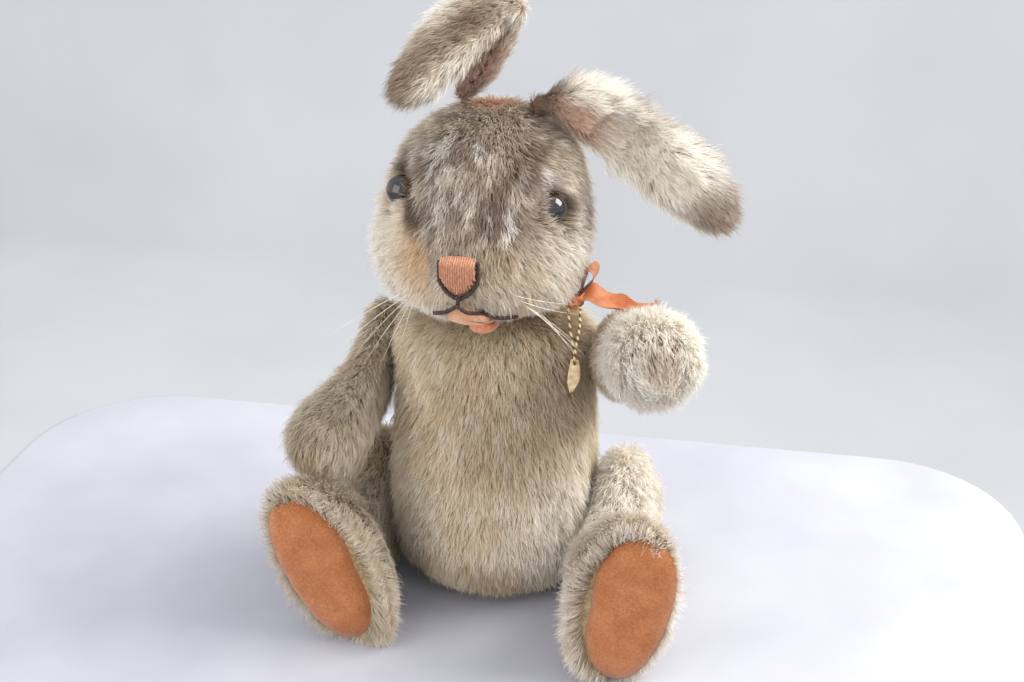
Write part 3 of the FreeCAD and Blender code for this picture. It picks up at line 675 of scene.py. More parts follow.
def leg_shade(side):
    def shade(places):
        patches = noise(places, 7.0, 41)
        streaks = noise(places, (3.0, 8.0, 3.0), 42)
        share = np.clip(0.45 + 0.9 * (patches - 0.5) + 0.5 * fade(streaks, 0.5, 0.8), 0, 1)
        root = mixed(KHAKI, BEIGE, 0.3 + 0.7 * share)
        tip = mixed(PALE, CREAM, share)
        if side == "right":
            # Painted shade: the rabbit's right leg, on the side away from the window, is mixed towards khaki
            # and beige.
            root = mixed(root, KHAKI, np.full(len(places), 0.4))
            tip = mixed(tip, BEIGE, 0.25 + 0.3 * fade(patches, 0.35, 0.75))
        else:
            # Painted light: paler fur on the rabbit's left haunch, the side towards the window.
            bright = near(places, (40.0, -10.0, 42.0), 34)
            root = mixed(root, PALE, bright)
            tip = mixed(tip, CREAM, bright)
        return root, tip

    return shade


def leg_bare(side):
    def bare(places):
        across, along, back = sole_place(side, places)
        inside = np.hypot(across / (SOLE_HALF[0] - 0.6), along / (SOLE_HALF[1] - 0.8)) < 1
        return inside & (back < 3.6)

    return bare


class Ear:
    """Where an ear's root, fold and tip are, its width's direction, and which side its front is on."""

    def __init__(self, root, fold, tip, across, front):
        self.line = [np.array(point, float) for point in (root, fold, tip)]
        self.across = np.array(across, float) / np.linalg.norm(across)
        self.front = front

    def place(self, places):
        """Share from root to tip, how far across, how far in front, and which way the ear runs."""
        root, fold, tip = self.line
        gaps = []
        for start, end in ((root, fold), (fold, tip)):
            way = end - start
            share = np.clip((places - start) @ way / (way @ way), 0, 1)
            foot = start + share[:, None] * way
            gaps.append((np.linalg.norm(places - foot, axis=1), share, foot, way / np.linalg.norm(way)))
        second = gaps[1][0] < gaps[0][0]
        share = np.where(second, 0.5 + 0.5 * gaps[1][1], 0.5 * gaps[0][1])
        foot = np.where(second[:, None], gaps[1][2], gaps[0][2])
        along = np.where(second[:, None], gaps[1][3], gaps[0][3])
        outward = np.cross(along, self.across) * self.front
        gap = places - foot
        return share, gap @ self.across, (gap * outward).sum(1), along


EARS = {
    "left": Ear((13, 3, 143.6), (37, 3, 136.4), (64, 3, 114.8), (0.5, 0, 0.86), 1),
    "right": Ear((-7.5, 3, 146.2), (7.5, 3, 173.5), (-18.8, -25, 154.4), (0.781, -0.461, -0.42), -1),
}


def ear_shape(side):
    """The folded ear, drawn together a little across its fold."""
    if side == "left":
        return None

    def shaped(places):
        moved = places.copy()
        moved[:, 0] -= 0.2 * (places[:, 0] + 4.0) * fade(places[:, 2], 146, 154)
        return moved

    return shaped


def ear_flow(side):
    """Along the ear, and out past its rims."""

    def flow(places, normals):
        share, across, front, along = EARS[side].place(places)
        return along + EARS[side].across * (0.8 * (across / 8.0) ** 3 + 0.10 * across / 8.0)[:, None]

    return flow


def ear_length(side):
    def length(places):
        share, across, front, along = EARS[side].place(places)
        rim = fade(np.abs(across), 3, 7.5)
        lining = fade(front, 0.0, 0.8) * (1 - rim) * (1 - fade(share, 0.45, 0.75))
        long = 4.4 + {"left": 2.0, "right": 1.2}[side] * rim + 1.6 * fade(share, 0.6, 1.0)
        return long - 1.6 * lining - 1.2 * (1 - fade(share, 0, 0.12))

    return length


def ear_lift(side):
    def lift(places):
        share, across, front, along = EARS[side].place(places)
        return 0.46 + 0.1 * fade(np.abs(across), 4, 8) + 0.1 * fade(share, 0.85, 1.0)

    return lift


def ear_shade(side):
    """Pinkish lining inside, cream rims, brown-tipped pile on the back, the upper edge and the tip, and
    painted shade at the root.
    """
    upper = SIGN[side]

    def shade(places):
        share, across, front, along = EARS[side].place(places)
        streaks = noise(places, (2.2, 2.2, 2.2), 51)
        patches = noise(places, 7.0, 52)
        rim = fade(np.abs(across), 3.5, 7.0)
        root = mixed(BEIGE, PALE, 0.6 + 0.4 * rim)
        tip = mixed(PALE, CREAM, np.clip(rim + 0.3 + fade(streaks, 0.35, 0.75), 0, 1))
        # The rabbit's right ear, away from the window, is mixed towards khaki away from its rims: partly its
        # browner pile, partly painted shade.
        if side == "right":
            tip = mixed(tip, KHAKI, 0.55 * (1 - rim) * fade(share, 0.5, 0.6))
            root = mixed(root, KHAKI, 0.6 * (1 - rim))
        lining = fade(front, 0.0, 0.8) * (1 - rim) * (1 - fade(share, 0.2, 0.5))
        root = mixed(root, PINK * 0.8, lining)
        tip = mixed(tip, PINK, 0.65 * lining)
        behind = 1 - fade(front, -0.5, 0.8) if side == "left" else fade(share, 0.5, 0.6)
        low, high = (-1.0, 6.5) if side == "left" else (-5.0, 1.0)
        height = across * upper
        browned = fade(height, low, low + 3.0) * (1 - fade(height, high, high + 2.0)) * behind
        browned = np.maximum(browned, fade(share, 0.78, 0.92) * fade(height, -6.0, -2.0))
        browned = browned * (0.5 + 0.5 * patches)
        root = mixed(root, KHAKI, browned)
        tip = mixed(tip, BROWN, 0.85 * browned)
        # Painted shade in the fold at the ear's root, lighter on the rabbit's right ear.
        shadow = (1 - fade(share, 0.02, 0.16)) * {"left": 1.0, "right": 0.4}[side]
        root = mixed(root, BROWN, 0.8 * shadow)
        return root, mixed(tip, BROWN, 0.7 * shadow)

    return shade


# --- threads ------------------------------------------------------------------------------------


def curved(points, count):
    """Evenly placed points on a smooth line through some points."""
    points = np.array(points, float)
    padded = np.concatenate([[2 * points[0] - points[1]], points, [2 * points[-1] - points[-2]]])
    fine = []
    for index in range(len(points) - 1):
        before, start, end, after = padded[index : index + 4]
        for share in np.linspace(0, 1, 24, endpoint=False):
            fine.append(0.5 * (2 * start + (end - before) * share
                        + (2 * before - 5 * start + 4 * end - after) * share**2
                        + (3 * start - before - 3 * end + after) * share**3))
    fine = np.array([*fine, points[-1]])
    steps = np.concatenate([[0], np.cumsum(np.linalg.norm(np.diff(fine, axis=0), axis=1))])
    wanted = np.linspace(0, steps[-1], count)
    return np.stack([np.interp(wanted, steps, fine[:, axis]) for axis in range(3)], axis=1)


def threads(name, paths, radius, lay, sides=10, pointed=False):
    """Two-ply threads laid along paths, in millimetres. lay is the length of one turn of their twist."""
    points, quads, triangles = [], [], []
    for path in paths:
        ways = unit(np.gradient(path, axis=0))
        normal = np.cross(ways[0], (0.3, 0.2, 1.0))
        first = len(points)
        travelled = 0.0
        for index, (centre, way) in enumerate(zip(path, ways)):
            normal = normal - way * (normal @ way)
            normal = normal / np.linalg.norm(normal)
            other = np.cross(way, normal)
            travelled += np.linalg.norm(centre - path[index - 1]) if index else 0.0
            narrow = 1 - 0.85 * (index / (len(path) - 1)) ** 2 if pointed else 1.0
            for side in range(sides):
                angle = 2 * math.pi * side / sides
                ply = 1 + 0.2 * math.cos(2 * (angle - 2 * math.pi * travelled / lay)) if lay else 1.0
                outward = normal * math.cos(angle) + other * math.sin(angle)
                points.append(centre + outward * radius * ply * narrow)
        for index in range(len(path) - 1):
            for side in range(sides):
                here = first + index * sides + side
                beside = first + index * sides + (side + 1) % sides
                quads.append((here, beside, beside + sides, here + sides))
        for start in (first, len(points) - sides):
            points.append(np.mean(points[start : start + sides], axis=0))
        for side in range(sides):
            end = len(points) - 2 - sides
            triangles.append((first + (side + 1) % sides, first + side, len(points) - 2))
            triangles.append((end + side, end + (side + 1) % sides, len(points) - 1))
    made = mesh_object(name, np.array(points) * MM, np.array(quads), np.array(triangles))
    smooth_shading(made)
    return made


# --- face ---------------------------------------------------------------------------------------


class Surface:
    """The CAD surface of a node, to lay threads on."""

    def __init__(self, node):
        mesh = bmesh.new()
        mesh.from_mesh(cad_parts[node].data)
        self.tree = bvhtree.BVHTree.FromBMesh(mesh)
        mesh.free()

    def in_front(self, across, height, proud):
        """The point that faces -Y at a place across and up, standing proud of the surface."""
        found = self.tree.ray_cast(Vector((across, -120, height)) * MM, Vector((0, 1, 0)))[0]
        return np.array(found) / MM + np.array((0, -proud, 0))

    def nearest(self, place, proud):
        found, normal = self.tree.find_nearest(Vector(place) * MM)[:2]
        return (np.array(found) / MM) + np.array(normal) * proud


NOSE_ROWS = 15
NOSE_HALF_WIDTH = 4.6
NOSE_HALF_HEIGHT = 4.6


def nose_edges(across):
    """Top and bottom of the shield-shaped nose at a distance from its middle."""
    share = abs(across) / NOSE_HALF_WIDTH
    top = NOSE_HALF_HEIGHT * (0.92 - 0.14 * share**4)
    bottom = -NOSE_HALF_HEIGHT * (1.38 - 0.55 * share - 0.55 * share**4)
    return top, bottom


def nose_stitches():
    """Upright satin stitches over the padded nose, side by side."""
    paths = []
    for row in range(NOSE_ROWS):
        across = NOSE_HALF_WIDTH * 0.96 * (2 * row / (NOSE_ROWS - 1) - 1)
        top, bottom = nose_edges(across)
        crown = 1.5 * math.sqrt(max(0.0, 1 - (across / (NOSE_HALF_WIDTH * 1.15)) ** 2))
        points = []
        for share in (0.0, 0.12, 0.35, 0.65, 0.88, 1.0):
            height = top + (bottom - top) * share
            swell = crown * math.sin(math.pi * share) ** 0.5
            sink = 1.4 if share in (0.0, 1.0) else 0.0
            points.append((NOSE[0] + across, NOSE[1] - 1.4 - swell + sink, NOSE[2] + height))
        paths.append(curved(points, 20))
    return threads("nose_stitches", paths, 0.34, 2.2)


def nose_border():
    """Dark thread down both sides of the nose and round its bottom."""
    points = []
    for across in np.linspace(-1, 1, 13):
        top, bottom = nose_edges(across * NOSE_HALF_WIDTH)
        proud = 0.9 + 0.7 * (1 - across**2)
        out = across * (NOSE_HALF_WIDTH + 0.55)
        points.append((NOSE[0] + out, NOSE[1] - proud, NOSE[2] + bottom - 0.75))
    points.insert(0, (NOSE[0] - NOSE_HALF_WIDTH - 0.6, NOSE[1] - 0.4, NOSE[2] + 3.1))
    points.append((NOSE[0] + NOSE_HALF_WIDTH + 0.6, NOSE[1] - 0.4, NOSE[2] + 3.3))
    return threads("nose_border", [curved(points, 70)], 0.55, 2.4)


def mouth_line(surface):
    """One upright stitch below the nose and a long loose stitch to either side."""
    meet = NOSE[2] - 8.4
    upright = [surface.in_front(NOSE[0], NOSE[2] - drop, 1.3) for drop in (5.6, 7.0, 8.4)]
    left_drops = ((0, 0), (2.4, 2.2), (5.6, 4.2), (9.4, 5.8), (13.2, 7.0))
    right_drops = ((0, 0), (2.0, 1.6), (4.8, 3.6), (8.2, 5.2))
    left = [surface.in_front(NOSE[0] + x, meet - drop, 2.4) for x, drop in left_drops]
    right = [surface.in_front(NOSE[0] - x, meet - drop, 1.6) for x, drop in right_drops]
    return threads("mouth_threads", [curved(line, 40) for line in (upright, left, right)], 0.52, 2.4)


def whisker_line(surface, side, index):
    """One long nylon whisker that leaves the cheek and droops."""
    sign = SIGN[side]
    long = {"left": 20.0, "right": 26.0}[side] * (1 - 0.07 * (index % 3))
    root = surface.in_front(sign * (13.0 + 0.8 * index), NOSE[2] - 7.0 - 1.7 * index, -1.0)
    droop = math.radians({"left": 6.0, "right": 24.0}[side] + 9.0 * index)
    way = np.array((sign * math.cos(droop), -0.28 + 0.1 * index, -math.sin(droop)))
    points = []
    for share in np.linspace(0, 1, 5):
        sag = 3.2 * share**2 * (-1 if side == "left" and index < 2 else 1)
        points.append(root + way * long * share + np.array((0, 0, -sag)))
    return curved(points, 24)


def whisker_set(surface):
    paths = [whisker_line(surface, side, index) for side in ("left", "right") for index in range(6)]
    return threads("whisker_set", paths, 0.09, 0, sides=6, pointed=True)


def claw_stitches(side, surface):
    """Curved claw stitches over the end of a paw."""
    start, end = ARM_ENDS[side]
    along = (end - start) / np.linalg.norm(end - start)
    wide = np.array((1.0, 0, 0)) - along * along[0]
    wide = wide / np.linalg.norm(wide)
    up = np.cross(wide, along)
    up = up if up[2] > 0 else -up
    paths = []
    for place in (-4.2, 0.0, 4.2):
        line = []
        for rise, reach in ((7.0, -2.6), (5.2, -0.4), (3.0, 0.8), (1.0, 1.6)):
            spot = end + wide * place * (0.8 + 0.03 * rise) + up * rise + along * reach
            line.append(surface.nearest(spot, 0.7))
        paths.append(curved(arm_shape(side)(np.array(line)), 24))
    return threads("claws_" + side, paths, 0.45, 2.2)


def toe_marks(side, surface):
    """Short worn stitches over the top of a foot."""
    low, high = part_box("leg_" + side + "_sole")
    middle = np.array((low + high) / 2) / MM
    lean = sole_lean(side)
    paths = []
    for place in (-6.5, 0.0, 6.5):
        line = []
        for back in (1.0, 3.0, 5.0):
            rise = 25.6 - 0.04 * place * place
            out = place * math.cos(lean) + rise * math.sin(lean)
            line.append(surface.nearest(middle + np.array((out, back, rise * math.cos(lean))), 0.4))
        paths.append(curved(line, 12))
    return threads("toe_marks_" + side, paths, 0.42, 2.2)


# --- felt ---------------------------------------------------------------------------------------


def pad(name, outline, front, thick, crown, seed, slope=0.0):
    """Felt piece with a soft edge: an outline in X and Z, pushed forward to a low crown, on a slope."""
    rings = 14
    count = len(outline)
    middle = outline.mean(axis=0)
    points, quads, triangles = [], [], []
    for ring in range(rings + 1):
        share = ring / rings
        for place in outline:
            spot = middle + (place - middle) * share
            depth = front - crown * (1 - share**2) + thick * share**10 + slope * (spot[1] - middle[1])
            points.append((spot[0], depth, spot[1]))
    points = np.array(points)
    points[:, 1] += 0.35 * (noise(points, (4, 4, 4), seed) - 0.5)
    for ring in range(rings):
        for side in range(count):
            here = ring * count + side
            beside = ring * count + (side + 1) % count
            quads.append((here, beside, beside + count, here + count))
    made = mesh_object(name, points * MM, np.array(quads), np.zeros((0, 3), int))
    bpy.context.view_layer.update()
    shape = bmesh.new()
    shape.from_mesh(made.data)
    bmesh.ops.remove_doubles(shape, verts=shape.verts, dist=0.01 * MM)
    bmesh.ops.recalc_face_normals(shape, faces=shape.faces)
    shape.to_mesh(made.data)
    shape.free()
    smooth_shading(made)
    return made


def sole_pad(side):
    """Felt sole, wider at the toe, with a slight waist on its inner side and a worn edge."""
    low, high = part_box("leg_" + side + "_sole")
    middle = sole_middle(side)
    sign = SIGN[side]
    lean = sole_lean(side)
    rng = np.random.default_rng(61 if side == "left" else 62)
    outline = []
    for step in range(96):
        turn = 2 * math.pi * step / 96
        along = SOLE_HALF[1] * math.copysign(abs(math.sin(turn)) ** 0.88, math.sin(turn))
        across = SOLE_HALF[0] * math.copysign(abs(math.cos(turn)) ** 0.88, math.cos(turn))
        across *= 0.92 + 0.08 * math.sin(turn)
        inner = max(0.0, -math.cos(turn) * sign)
        across += sign * 1.0 * inner * math.exp(-((along + 3.0) / 7.0) ** 2)
        worn = 1 + rng.normal(0, 0.004)
        across, along = across * worn, along * worn
        x = across * math.cos(lean) + along * math.sin(lean)
        z = along * math.cos(lean) - across * math.sin(lean)
        outline.append((middle[0] + x, middle[2] + z))
    return pad("sole_" + side, np.array(outline), low[1] / MM + 0.7, 2.6, 0.8, 63)


def oval(centre, half_width, half_height, count=48):
    turns = np.linspace(0, 2 * math.pi, count, endpoint=False)
    across = centre[0] + half_width * np.cos(turns)
    height = centre[1] + half_height * np.sin(turns)
    return np.stack([across, height], axis=1)


MOUTH_MIDDLE = 1.3  # the open mouth's middle, to the rabbit's left of the nose's
MOUTH_HALF = 6.4


def mouth_felt():
    """Crescent of felt under the two mouth stitches, sloping back to the chin."""
    outline = []
    for step in range(48):
        turn = 2 * math.pi * step / 48
        across = MOUTH_HALF * math.cos(turn)
        arched = 1.7 - 0.052 * (across + MOUTH_MIDDLE) ** 2 if math.sin(turn) > 0 else 0.0
        outline.append((NOSE[0] + MOUTH_MIDDLE + across, 96.0 + 2.6 * math.sin(turn) + arched))
    return pad("mouth_felt", np.array(outline), -35.6, 2.4, 0.5, 64, slope=-0.62)


def lip_felt():
    """Small rounded lower lip, folded out under the mouth."""
    return pad("lip_felt", oval((NOSE[0] + 4.0, 92.6), 4.1, 2.5), -31.9, 3.4, 1.4, 65, slope=-0.4)


# --- ribbon and tag -----------------------------------------------------------------------------

KNOT = np.array((25.2, -8.0, 91.4))
RIBBON_HALF = 4.9
CORD_ROUTE = (
    (27.0, -10.95, 90.5),
    (28.0, -15.2, 87.8),
    (27.4, -18.8, 83.0),
    (26.7, -18.7, 76.9),
    (26.7, -15.7, 76.9),
    (25.9, -16.0, 82.6),
    (24.6, -13.6, 86.4),
    (23.6, -11.05, 90.5),
)
CORD_THICK = 0.0007


def cloth_strip(name, rows, thick):
    """Strip of cloth through rows of points, in millimetres, with a real thickness."""
    along, across = rows.shape[:2]
    quads = []
    for step in range(along - 1):
        for side in range(across - 1):
            here = step * across + side
            quads.append((here, here + 1, here + across + 1, here + across))
    made = mesh_object(name, rows.reshape(-1, 3) * MM, np.array(quads), np.zeros((0, 3), int))
    solid = made.modifiers.new("thickness", "SOLIDIFY")
    solid.thickness = thick * MM
    solid.offset = 0
    rounded = made.modifiers.new("rounded", "SUBSURF")
    rounded.levels = 1
    rounded.render_levels = 1
    final = bpy.data.meshes.new_from_object(made.evaluated_get(bpy.context.evaluated_depsgraph_get()))
    made.modifiers.clear()
    made.data = final
    smooth_shading(made)
    return made


def ribbon_round():
    """The ribbon round the neck, gathered into small pleats."""
    rows = []
    for turn in np.linspace(0, 2 * math.pi, 121):
        row = []
        for fold in range(9):
            out = 15.9 + (1.3 if fold % 2 else -1.3) + 0.25 * math.sin(7 * turn + fold)
            height = 87.9 + (fold - 4) * 0.30 + 0.2 * math.sin(3 * turn)
            row.append((out * math.cos(turn), (out - 1.6) * math.sin(turn), height))
        rows.append(row)
    return cloth_strip("ribbon_round", np.array(rows), 0.25)


def ribbon_loop():
    """Small upright loop of the bow, open towards the front."""
    line = [
        (25.4, 92.4), (27.4, 94.6), (29.6, 97.4), (30.2, 100.2),
        (29.0, 101.4), (27.6, 99.6), (26.8, 96.6), (26.0, 93.2),
    ]
    line = curved([(x, 0, z) for x, z in line], 40)
    rows = []
    for index, (x, _, z) in enumerate(line):
        share = index / (len(line) - 1)
        half = RIBBON_HALF * (0.55 + 0.4 * math.sin(math.pi * share))
        row = []
        for side in np.linspace(-1, 1, 9):
            curl = 0.5 * side**2 * math.sin(math.pi * share)
            row.append((x + curl, KNOT[1] + 2.2 + side * half, z - 0.6 * side * share))
        rows.append(row)
    return cloth_strip("ribbon_loop", np.array(rows), 0.3)


def ribbon_tail():
    """Main loop and tail over the shoulder: a trough with turned-up edges that narrows to its end."""
    line = [
        (25.6, -7.2, 91.6), (28.6, -6.8, 93.2), (32.4, -6.4, 92.2), (36.2, -6.0, 90.9),
        (40.4, -6.0, 90.4), (44.0, -6.2, 91.2), (47.2, -6.4, 92.0),
    ]
    line = curved(line, 60)
    rows = []
    for index, centre in enumerate(line):
        share = index / (len(line) - 1)
        half = RIBBON_HALF * (1.0 - 0.62 * float(fade(np.array([share]), 0.45, 0.8)[0]))
        pocket = 1.6 * math.exp(-((share - 0.16) / 0.14) ** 2)
        pocket += 1.3 * math.exp(-((share - 0.56) / 0.12) ** 2)
        row = []
        for side in np.linspace(-1, 1, 13):
            rise = (0.5 + pocket) * side**2 + 0.9 * side * (1 - share)
            wave = 0.25 * math.sin(9 * share + 2 * side)
            height = centre[2] + rise + wave - 0.8
            row.append((centre[0] + 0.5 * side, centre[1] + side * half * 0.9, height))
        rows.append(row)
    return cloth_strip("ribbon_tail", np.array(rows), 0.3)


def ribbon_knot():
    steps = ((-0.8, -2.6, 0.2), (-0.3, -0.6, 0.4), (0.3, 1.4, 0.2), (0.6, 2.8, -0.2))
    path = curved([KNOT + np.array(step) for step in steps], 24)
    return threads("ribbon_knot", [path], 1.9, 7.0, sides=24)


def frayed_end():
    rng = np.random.default_rng(71)
    paths = []
    for place in np.linspace(-1, 1, 15):
        start = np.array((46.6, -6.4 + 1.9 * place, 91.6 + 0.5 * place**2))
        way = np.array((1.6, 0.5 * place, 0.3)) + rng.normal(0, 0.35, 3)
        paths.append(curved([start, start + way * 0.5, start + way], 6))
    return threads("ribbon_fray", paths, 0.09, 0, sides=5, pointed=True)


def tag_strip():
    """Narrow folded tag: two layers that part a little towards the bottom."""
    layers = []
    for layer, gap in (("front", -0.2), ("back", 0.25)):
        rows = []
        for share in np.linspace(0, 1, 24):
            pointed = 1 - 0.75 * max(0.0, share - 0.7) / 0.3
            half = 1.7 * (0.62 + 0.38 * math.sin(math.pi * min(1.0, share * 1.5) / 1.5)) * pointed
            row = []
            for side in np.linspace(-1, 1, 7):
                x = 26.7 + side * half - 1.0 * share**2
                y = -17.2 + gap * (0.6 + 1.6 * share) + 0.5 * side * share
                row.append((x, y, 78.2 - 10.0 * share))
            rows.append(row)
        layers.append(cloth_strip("tag_" + layer, np.array(rows), 0.22))
    return layers


def tag_cord():
    """The cord as one smooth curve along its route."""
    curve = bpy.data.curves.new("tag_loop", "CURVE")
    curve.dimensions = "3D"
    curve.bevel_depth = CORD_THICK / 2
    curve.bevel_resolution = 4
    curve.resolution_u = 12
    spline = curve.splines.new("NURBS")
    spline.points.add(len(CORD_ROUTE) - 1)
    for point, place in zip(spline.points, CORD_ROUTE):
        point.co = (*(Vector(place) * MM), 1)
    spline.order_u = 3
    spline.use_endpoint_u = True
    made = bpy.data.objects.new("tag_loop", curve)
    bpy.context.scene.collection.objects.link(made)
    return made


# --- materials ----------------------------------------------------------------------------------


class Finish:
    """A material under construction: its nodes, links and main shader."""

    def __init__(self, name, roughness, specular=0.3, sheen=0.0):
        self.material = bpy.data.materials.new(name)
        self.material.use_nodes = True
        self.nodes = self.material.node_tree.nodes
        self.links = self.material.node_tree.links
        self.shader = self.nodes["Principled BSDF"]
        self.shader.inputs["Roughness"].default_value = roughness
        self.shader.inputs["Specular IOR Level"].default_value = specular
        self.shader.inputs["Sheen Weight"].default_value = sheen
        self.shader.inputs["Sheen Roughness"].default_value = 0.45
        self.place = self.nodes.new("ShaderNodeTexCoord").outputs["Object"]

    def grain(self, size, detail=3.0, stretch=(1, 1, 1)):
        """Noise whose grain is size millimetres, stretched along the axes."""
        mapping = self.nodes.new("ShaderNodeMapping")
        mapping.inputs["Scale"].default_value = [1 / value for value in stretch]
        texture = self.nodes.new("ShaderNodeTexNoise")
        texture.inputs["Scale"].default_value = 1 / (size * MM)
        texture.inputs["Detail"].default_value = detail
        self.links.new(self.place, mapping.inputs["Vector"])
        self.links.new(mapping.outputs["Vector"], texture.inputs["Vector"])
        return texture.outputs["Fac"]

    def bands(self, size, direction):
        """Even bands, size millimetres apart, across an axis or along a diagonal."""
        texture = self.nodes.new("ShaderNodeTexWave")
        texture.bands_direction = direction
        texture.inputs["Scale"].default_value = 0.314 / (size * MM)
        texture.inputs["Distortion"].default_value = 0.6
        self.links.new(self.place, texture.inputs["Vector"])
        return texture.outputs["Fac"]

    def colours(self, factor, *stops):
        """Colour ramp over a factor. Each stop is a place from 0 to 1 and a colour."""
        ramp = self.nodes.new("ShaderNodeValToRGB")
        while len(ramp.color_ramp.elements) < len(stops):
            ramp.color_ramp.elements.new(0.5)
        for element, (place, colour) in zip(ramp.color_ramp.elements, stops):
            element.position = place
            element.color = (*colour, 1)
        self.links.new(factor, ramp.inputs["Fac"])
        return ramp.outputs["Color"]

    def blended(self, first, second):
        """Two colours multiplied."""
        mix = self.nodes.new("ShaderNodeMix")
        mix.data_type = "RGBA"
        mix.blend_type = "MULTIPLY"
        mix.inputs["Factor"].default_value = 1.0
        self.links.new(first, mix.inputs[6])
        self.links.new(second, mix.inputs[7])
        return mix.outputs[2]

    def colour(self, source):
        self.links.new(source, self.shader.inputs["Base Color"])

    def mottle(self, size, dark, light):
        """Colour the surface by a noise of this grain, from dark to light."""
        self.colour(self.colours(self.grain(size), (0.3, dark), (0.7, light)))

    def bump(self, height, depth):
        """Relief of depth millimetres."""
        bump = self.nodes.new("ShaderNodeBump")
        bump.inputs["Strength"].default_value = 1.0
        bump.inputs["Distance"].default_value = depth * MM
        self.links.new(height, bump.inputs["Height"])
        self.links.new(bump.outputs["Normal"], self.shader.inputs["Normal"])

    def tint(self):
        """The colour painted on each point."""
        attribute = self.nodes.new("ShaderNodeAttribute")
        attribute.attribute_name = "tint"
        return attribute.outputs["Color"]


def mohair_finish():
    """Fine hairs with a soft gloss, which let a share of the light through."""
    finish = Finish("mohair", 0.6, specular=0.25, sheen=0.2)
    tint = finish.tint()
    finish.colour(tint)
    through = finish.nodes.new("ShaderNodeBsdfTranslucent")
    finish.links.new(tint, through.inputs["Color"])
    both = finish.nodes.new("ShaderNodeMixShader")
    both.inputs["Fac"].default_value = 0.45
    finish.links.new(finish.shader.outputs["BSDF"], both.inputs[1])
    finish.links.new(through.outputs["BSDF"], both.inputs[2])
    finish.links.new(both.outputs["Shader"], finish.nodes["Material Output"].inputs["Surface"])
    return finish.material


def backing_finish():
    """Cotton backing of the plush: a fine weave, mottled."""
    finish = Finish("plush_backing", 0.9, specular=0.1)
    mottled = finish.colours(finish.grain(1.2), (0.3, linear(190, 180, 165)), (0.7, linear(255, 250, 240)))
    finish.colour(finish.blended(finish.tint(), mottled))
    finish.bump(finish.grain(0.3), 0.2)
    return finish.material


def felt_finish(name, light, dark):
    """Wool felt: matted fibres, rubbed paler in patches."""
    finish = Finish(name, 0.95, specular=0.1, sheen=0.35)
    fibres = finish.colours(finish.grain(0.55, 6.0), (0.32, dark), (0.68, light))
    rubbed = finish.colours(finish.grain(6.0), (0.35, linear(236, 226, 216)), (0.65, linear(255, 255, 255)))
    finish.colour(finish.blended(fibres, rubbed))
    finish.bump(finish.grain(0.35, 5.0), 0.25)
    return finish.material


def thread_finish(name, light, dark, roughness):
    finish = Finish(name, roughness, specular=0.45, sheen=0.1)
    finish.colour(finish.colours(finish.grain(0.35, 4.0, (1, 1, 3)), (0.3, dark), (0.7, light)))
    finish.bump(finish.grain(0.16, 2.0, (1, 1, 4)), 0.05)
    return finish.material


def ribbon_finish():
    """Satin ribbon: a fine rib across it, faded unevenly."""
    finish = Finish("ribbon", 0.42, specular=0.4, sheen=0.2)
    faded = finish.colours(finish.grain(3.0), (0.3, linear(190, 106, 58)), (0.7, linear(220, 146, 94)))
    rib, between = linear(255, 255, 255), linear(225, 215, 205)
    ribs = finish.colours(finish.bands(0.45, "Y"), (0.0, between), (1.0, rib))
    finish.colour(finish.blended(faded, ribs))
    finish.bump(finish.bands(0.45, "Y"), 0.05)
    return finish.material


def cord_finish():
    finish = Finish("twisted_cord", 0.5, specular=0.4)
    # The dark diagonal bands are painted shade in the grooves of the twist; the pale bands are the cord's
    # own colour.
    dark, light = linear(92, 66, 36), linear(214, 192, 150)
    finish.colour(finish.colours(finish.bands(1.3, "DIAGONAL"), (0.35, dark), (0.6, light)))
    finish.bump(finish.bands(0.65, "DIAGONAL"), 0.1)
    return finish.material


def tag_finish():
    finish = Finish("tag_tape", 0.7, specular=0.25)
    finish.mottle(1.6, linear(178, 148, 108), linear(222, 200, 162))
    finish.bump(finish.bands(0.4, "Z"), 0.04)
    return finish.material


def nylon_finish():
    finish = Finish("nylon", 0.25, specular=0.6)
    finish.mottle(4.0, linear(206, 190, 158), linear(244, 236, 216))
    return finish.material


def eye_finish():
    """Dark glass: a brown iris with a paler rim round a black pupil, under a clear polish."""
    finish = Finish("eye_glass", 0.06, specular=0.6)
    finish.shader.inputs["Coat Weight"].default_value = 0.35
    finish.shader.inputs["Coat Roughness"].default_value = 0.02
    mirrored = finish.nodes.new("ShaderNodeVectorMath")
    mirrored.operation = "ABSOLUTE"
    finish.links.new(finish.place, mirrored.inputs[0])
    gap = finish.nodes.new("ShaderNodeVectorMath")
    gap.operation = "DISTANCE"
    gap.inputs[1].default_value = EYE_POLE
    finish.links.new(mirrored.outputs["Vector"], gap.inputs[0])
    scaled = finish.nodes.new("ShaderNodeMath")
    scaled.operation = "MULTIPLY"
    scaled.inputs[1].default_value = 1 / (2 * EYE_R * MM)
    finish.links.new(gap.outputs["Value"], scaled.inputs[0])
    finish.colour(finish.colours(
        scaled.outputs["Value"],
        (0.0, linear(8, 7, 7)),
        (0.30, linear(10, 8, 8)),
        (0.36, linear(34, 22, 14)),
        (0.50, linear(52, 33, 20)),
        (0.62, linear(22, 14, 10)),
    ))
    return finish.material


def plain_finish(name, light, dark, size, roughness, metallic=0.0, stretch=(1, 1, 1)):
    """For what is inside: steel, pressed board and stuffing."""
    finish = Finish(name, roughness)
    finish.shader.inputs["Metallic"].default_value = metallic
    finish.colour(finish.colours(finish.grain(size, 4.0, stretch), (0.3, dark), (0.7, light)))
    finish.bump(finish.grain(size * 0.5, 3.0, stretch), 0.08)
    return finish.material


# --- camera, light and stage --------------------------------------------------------------------


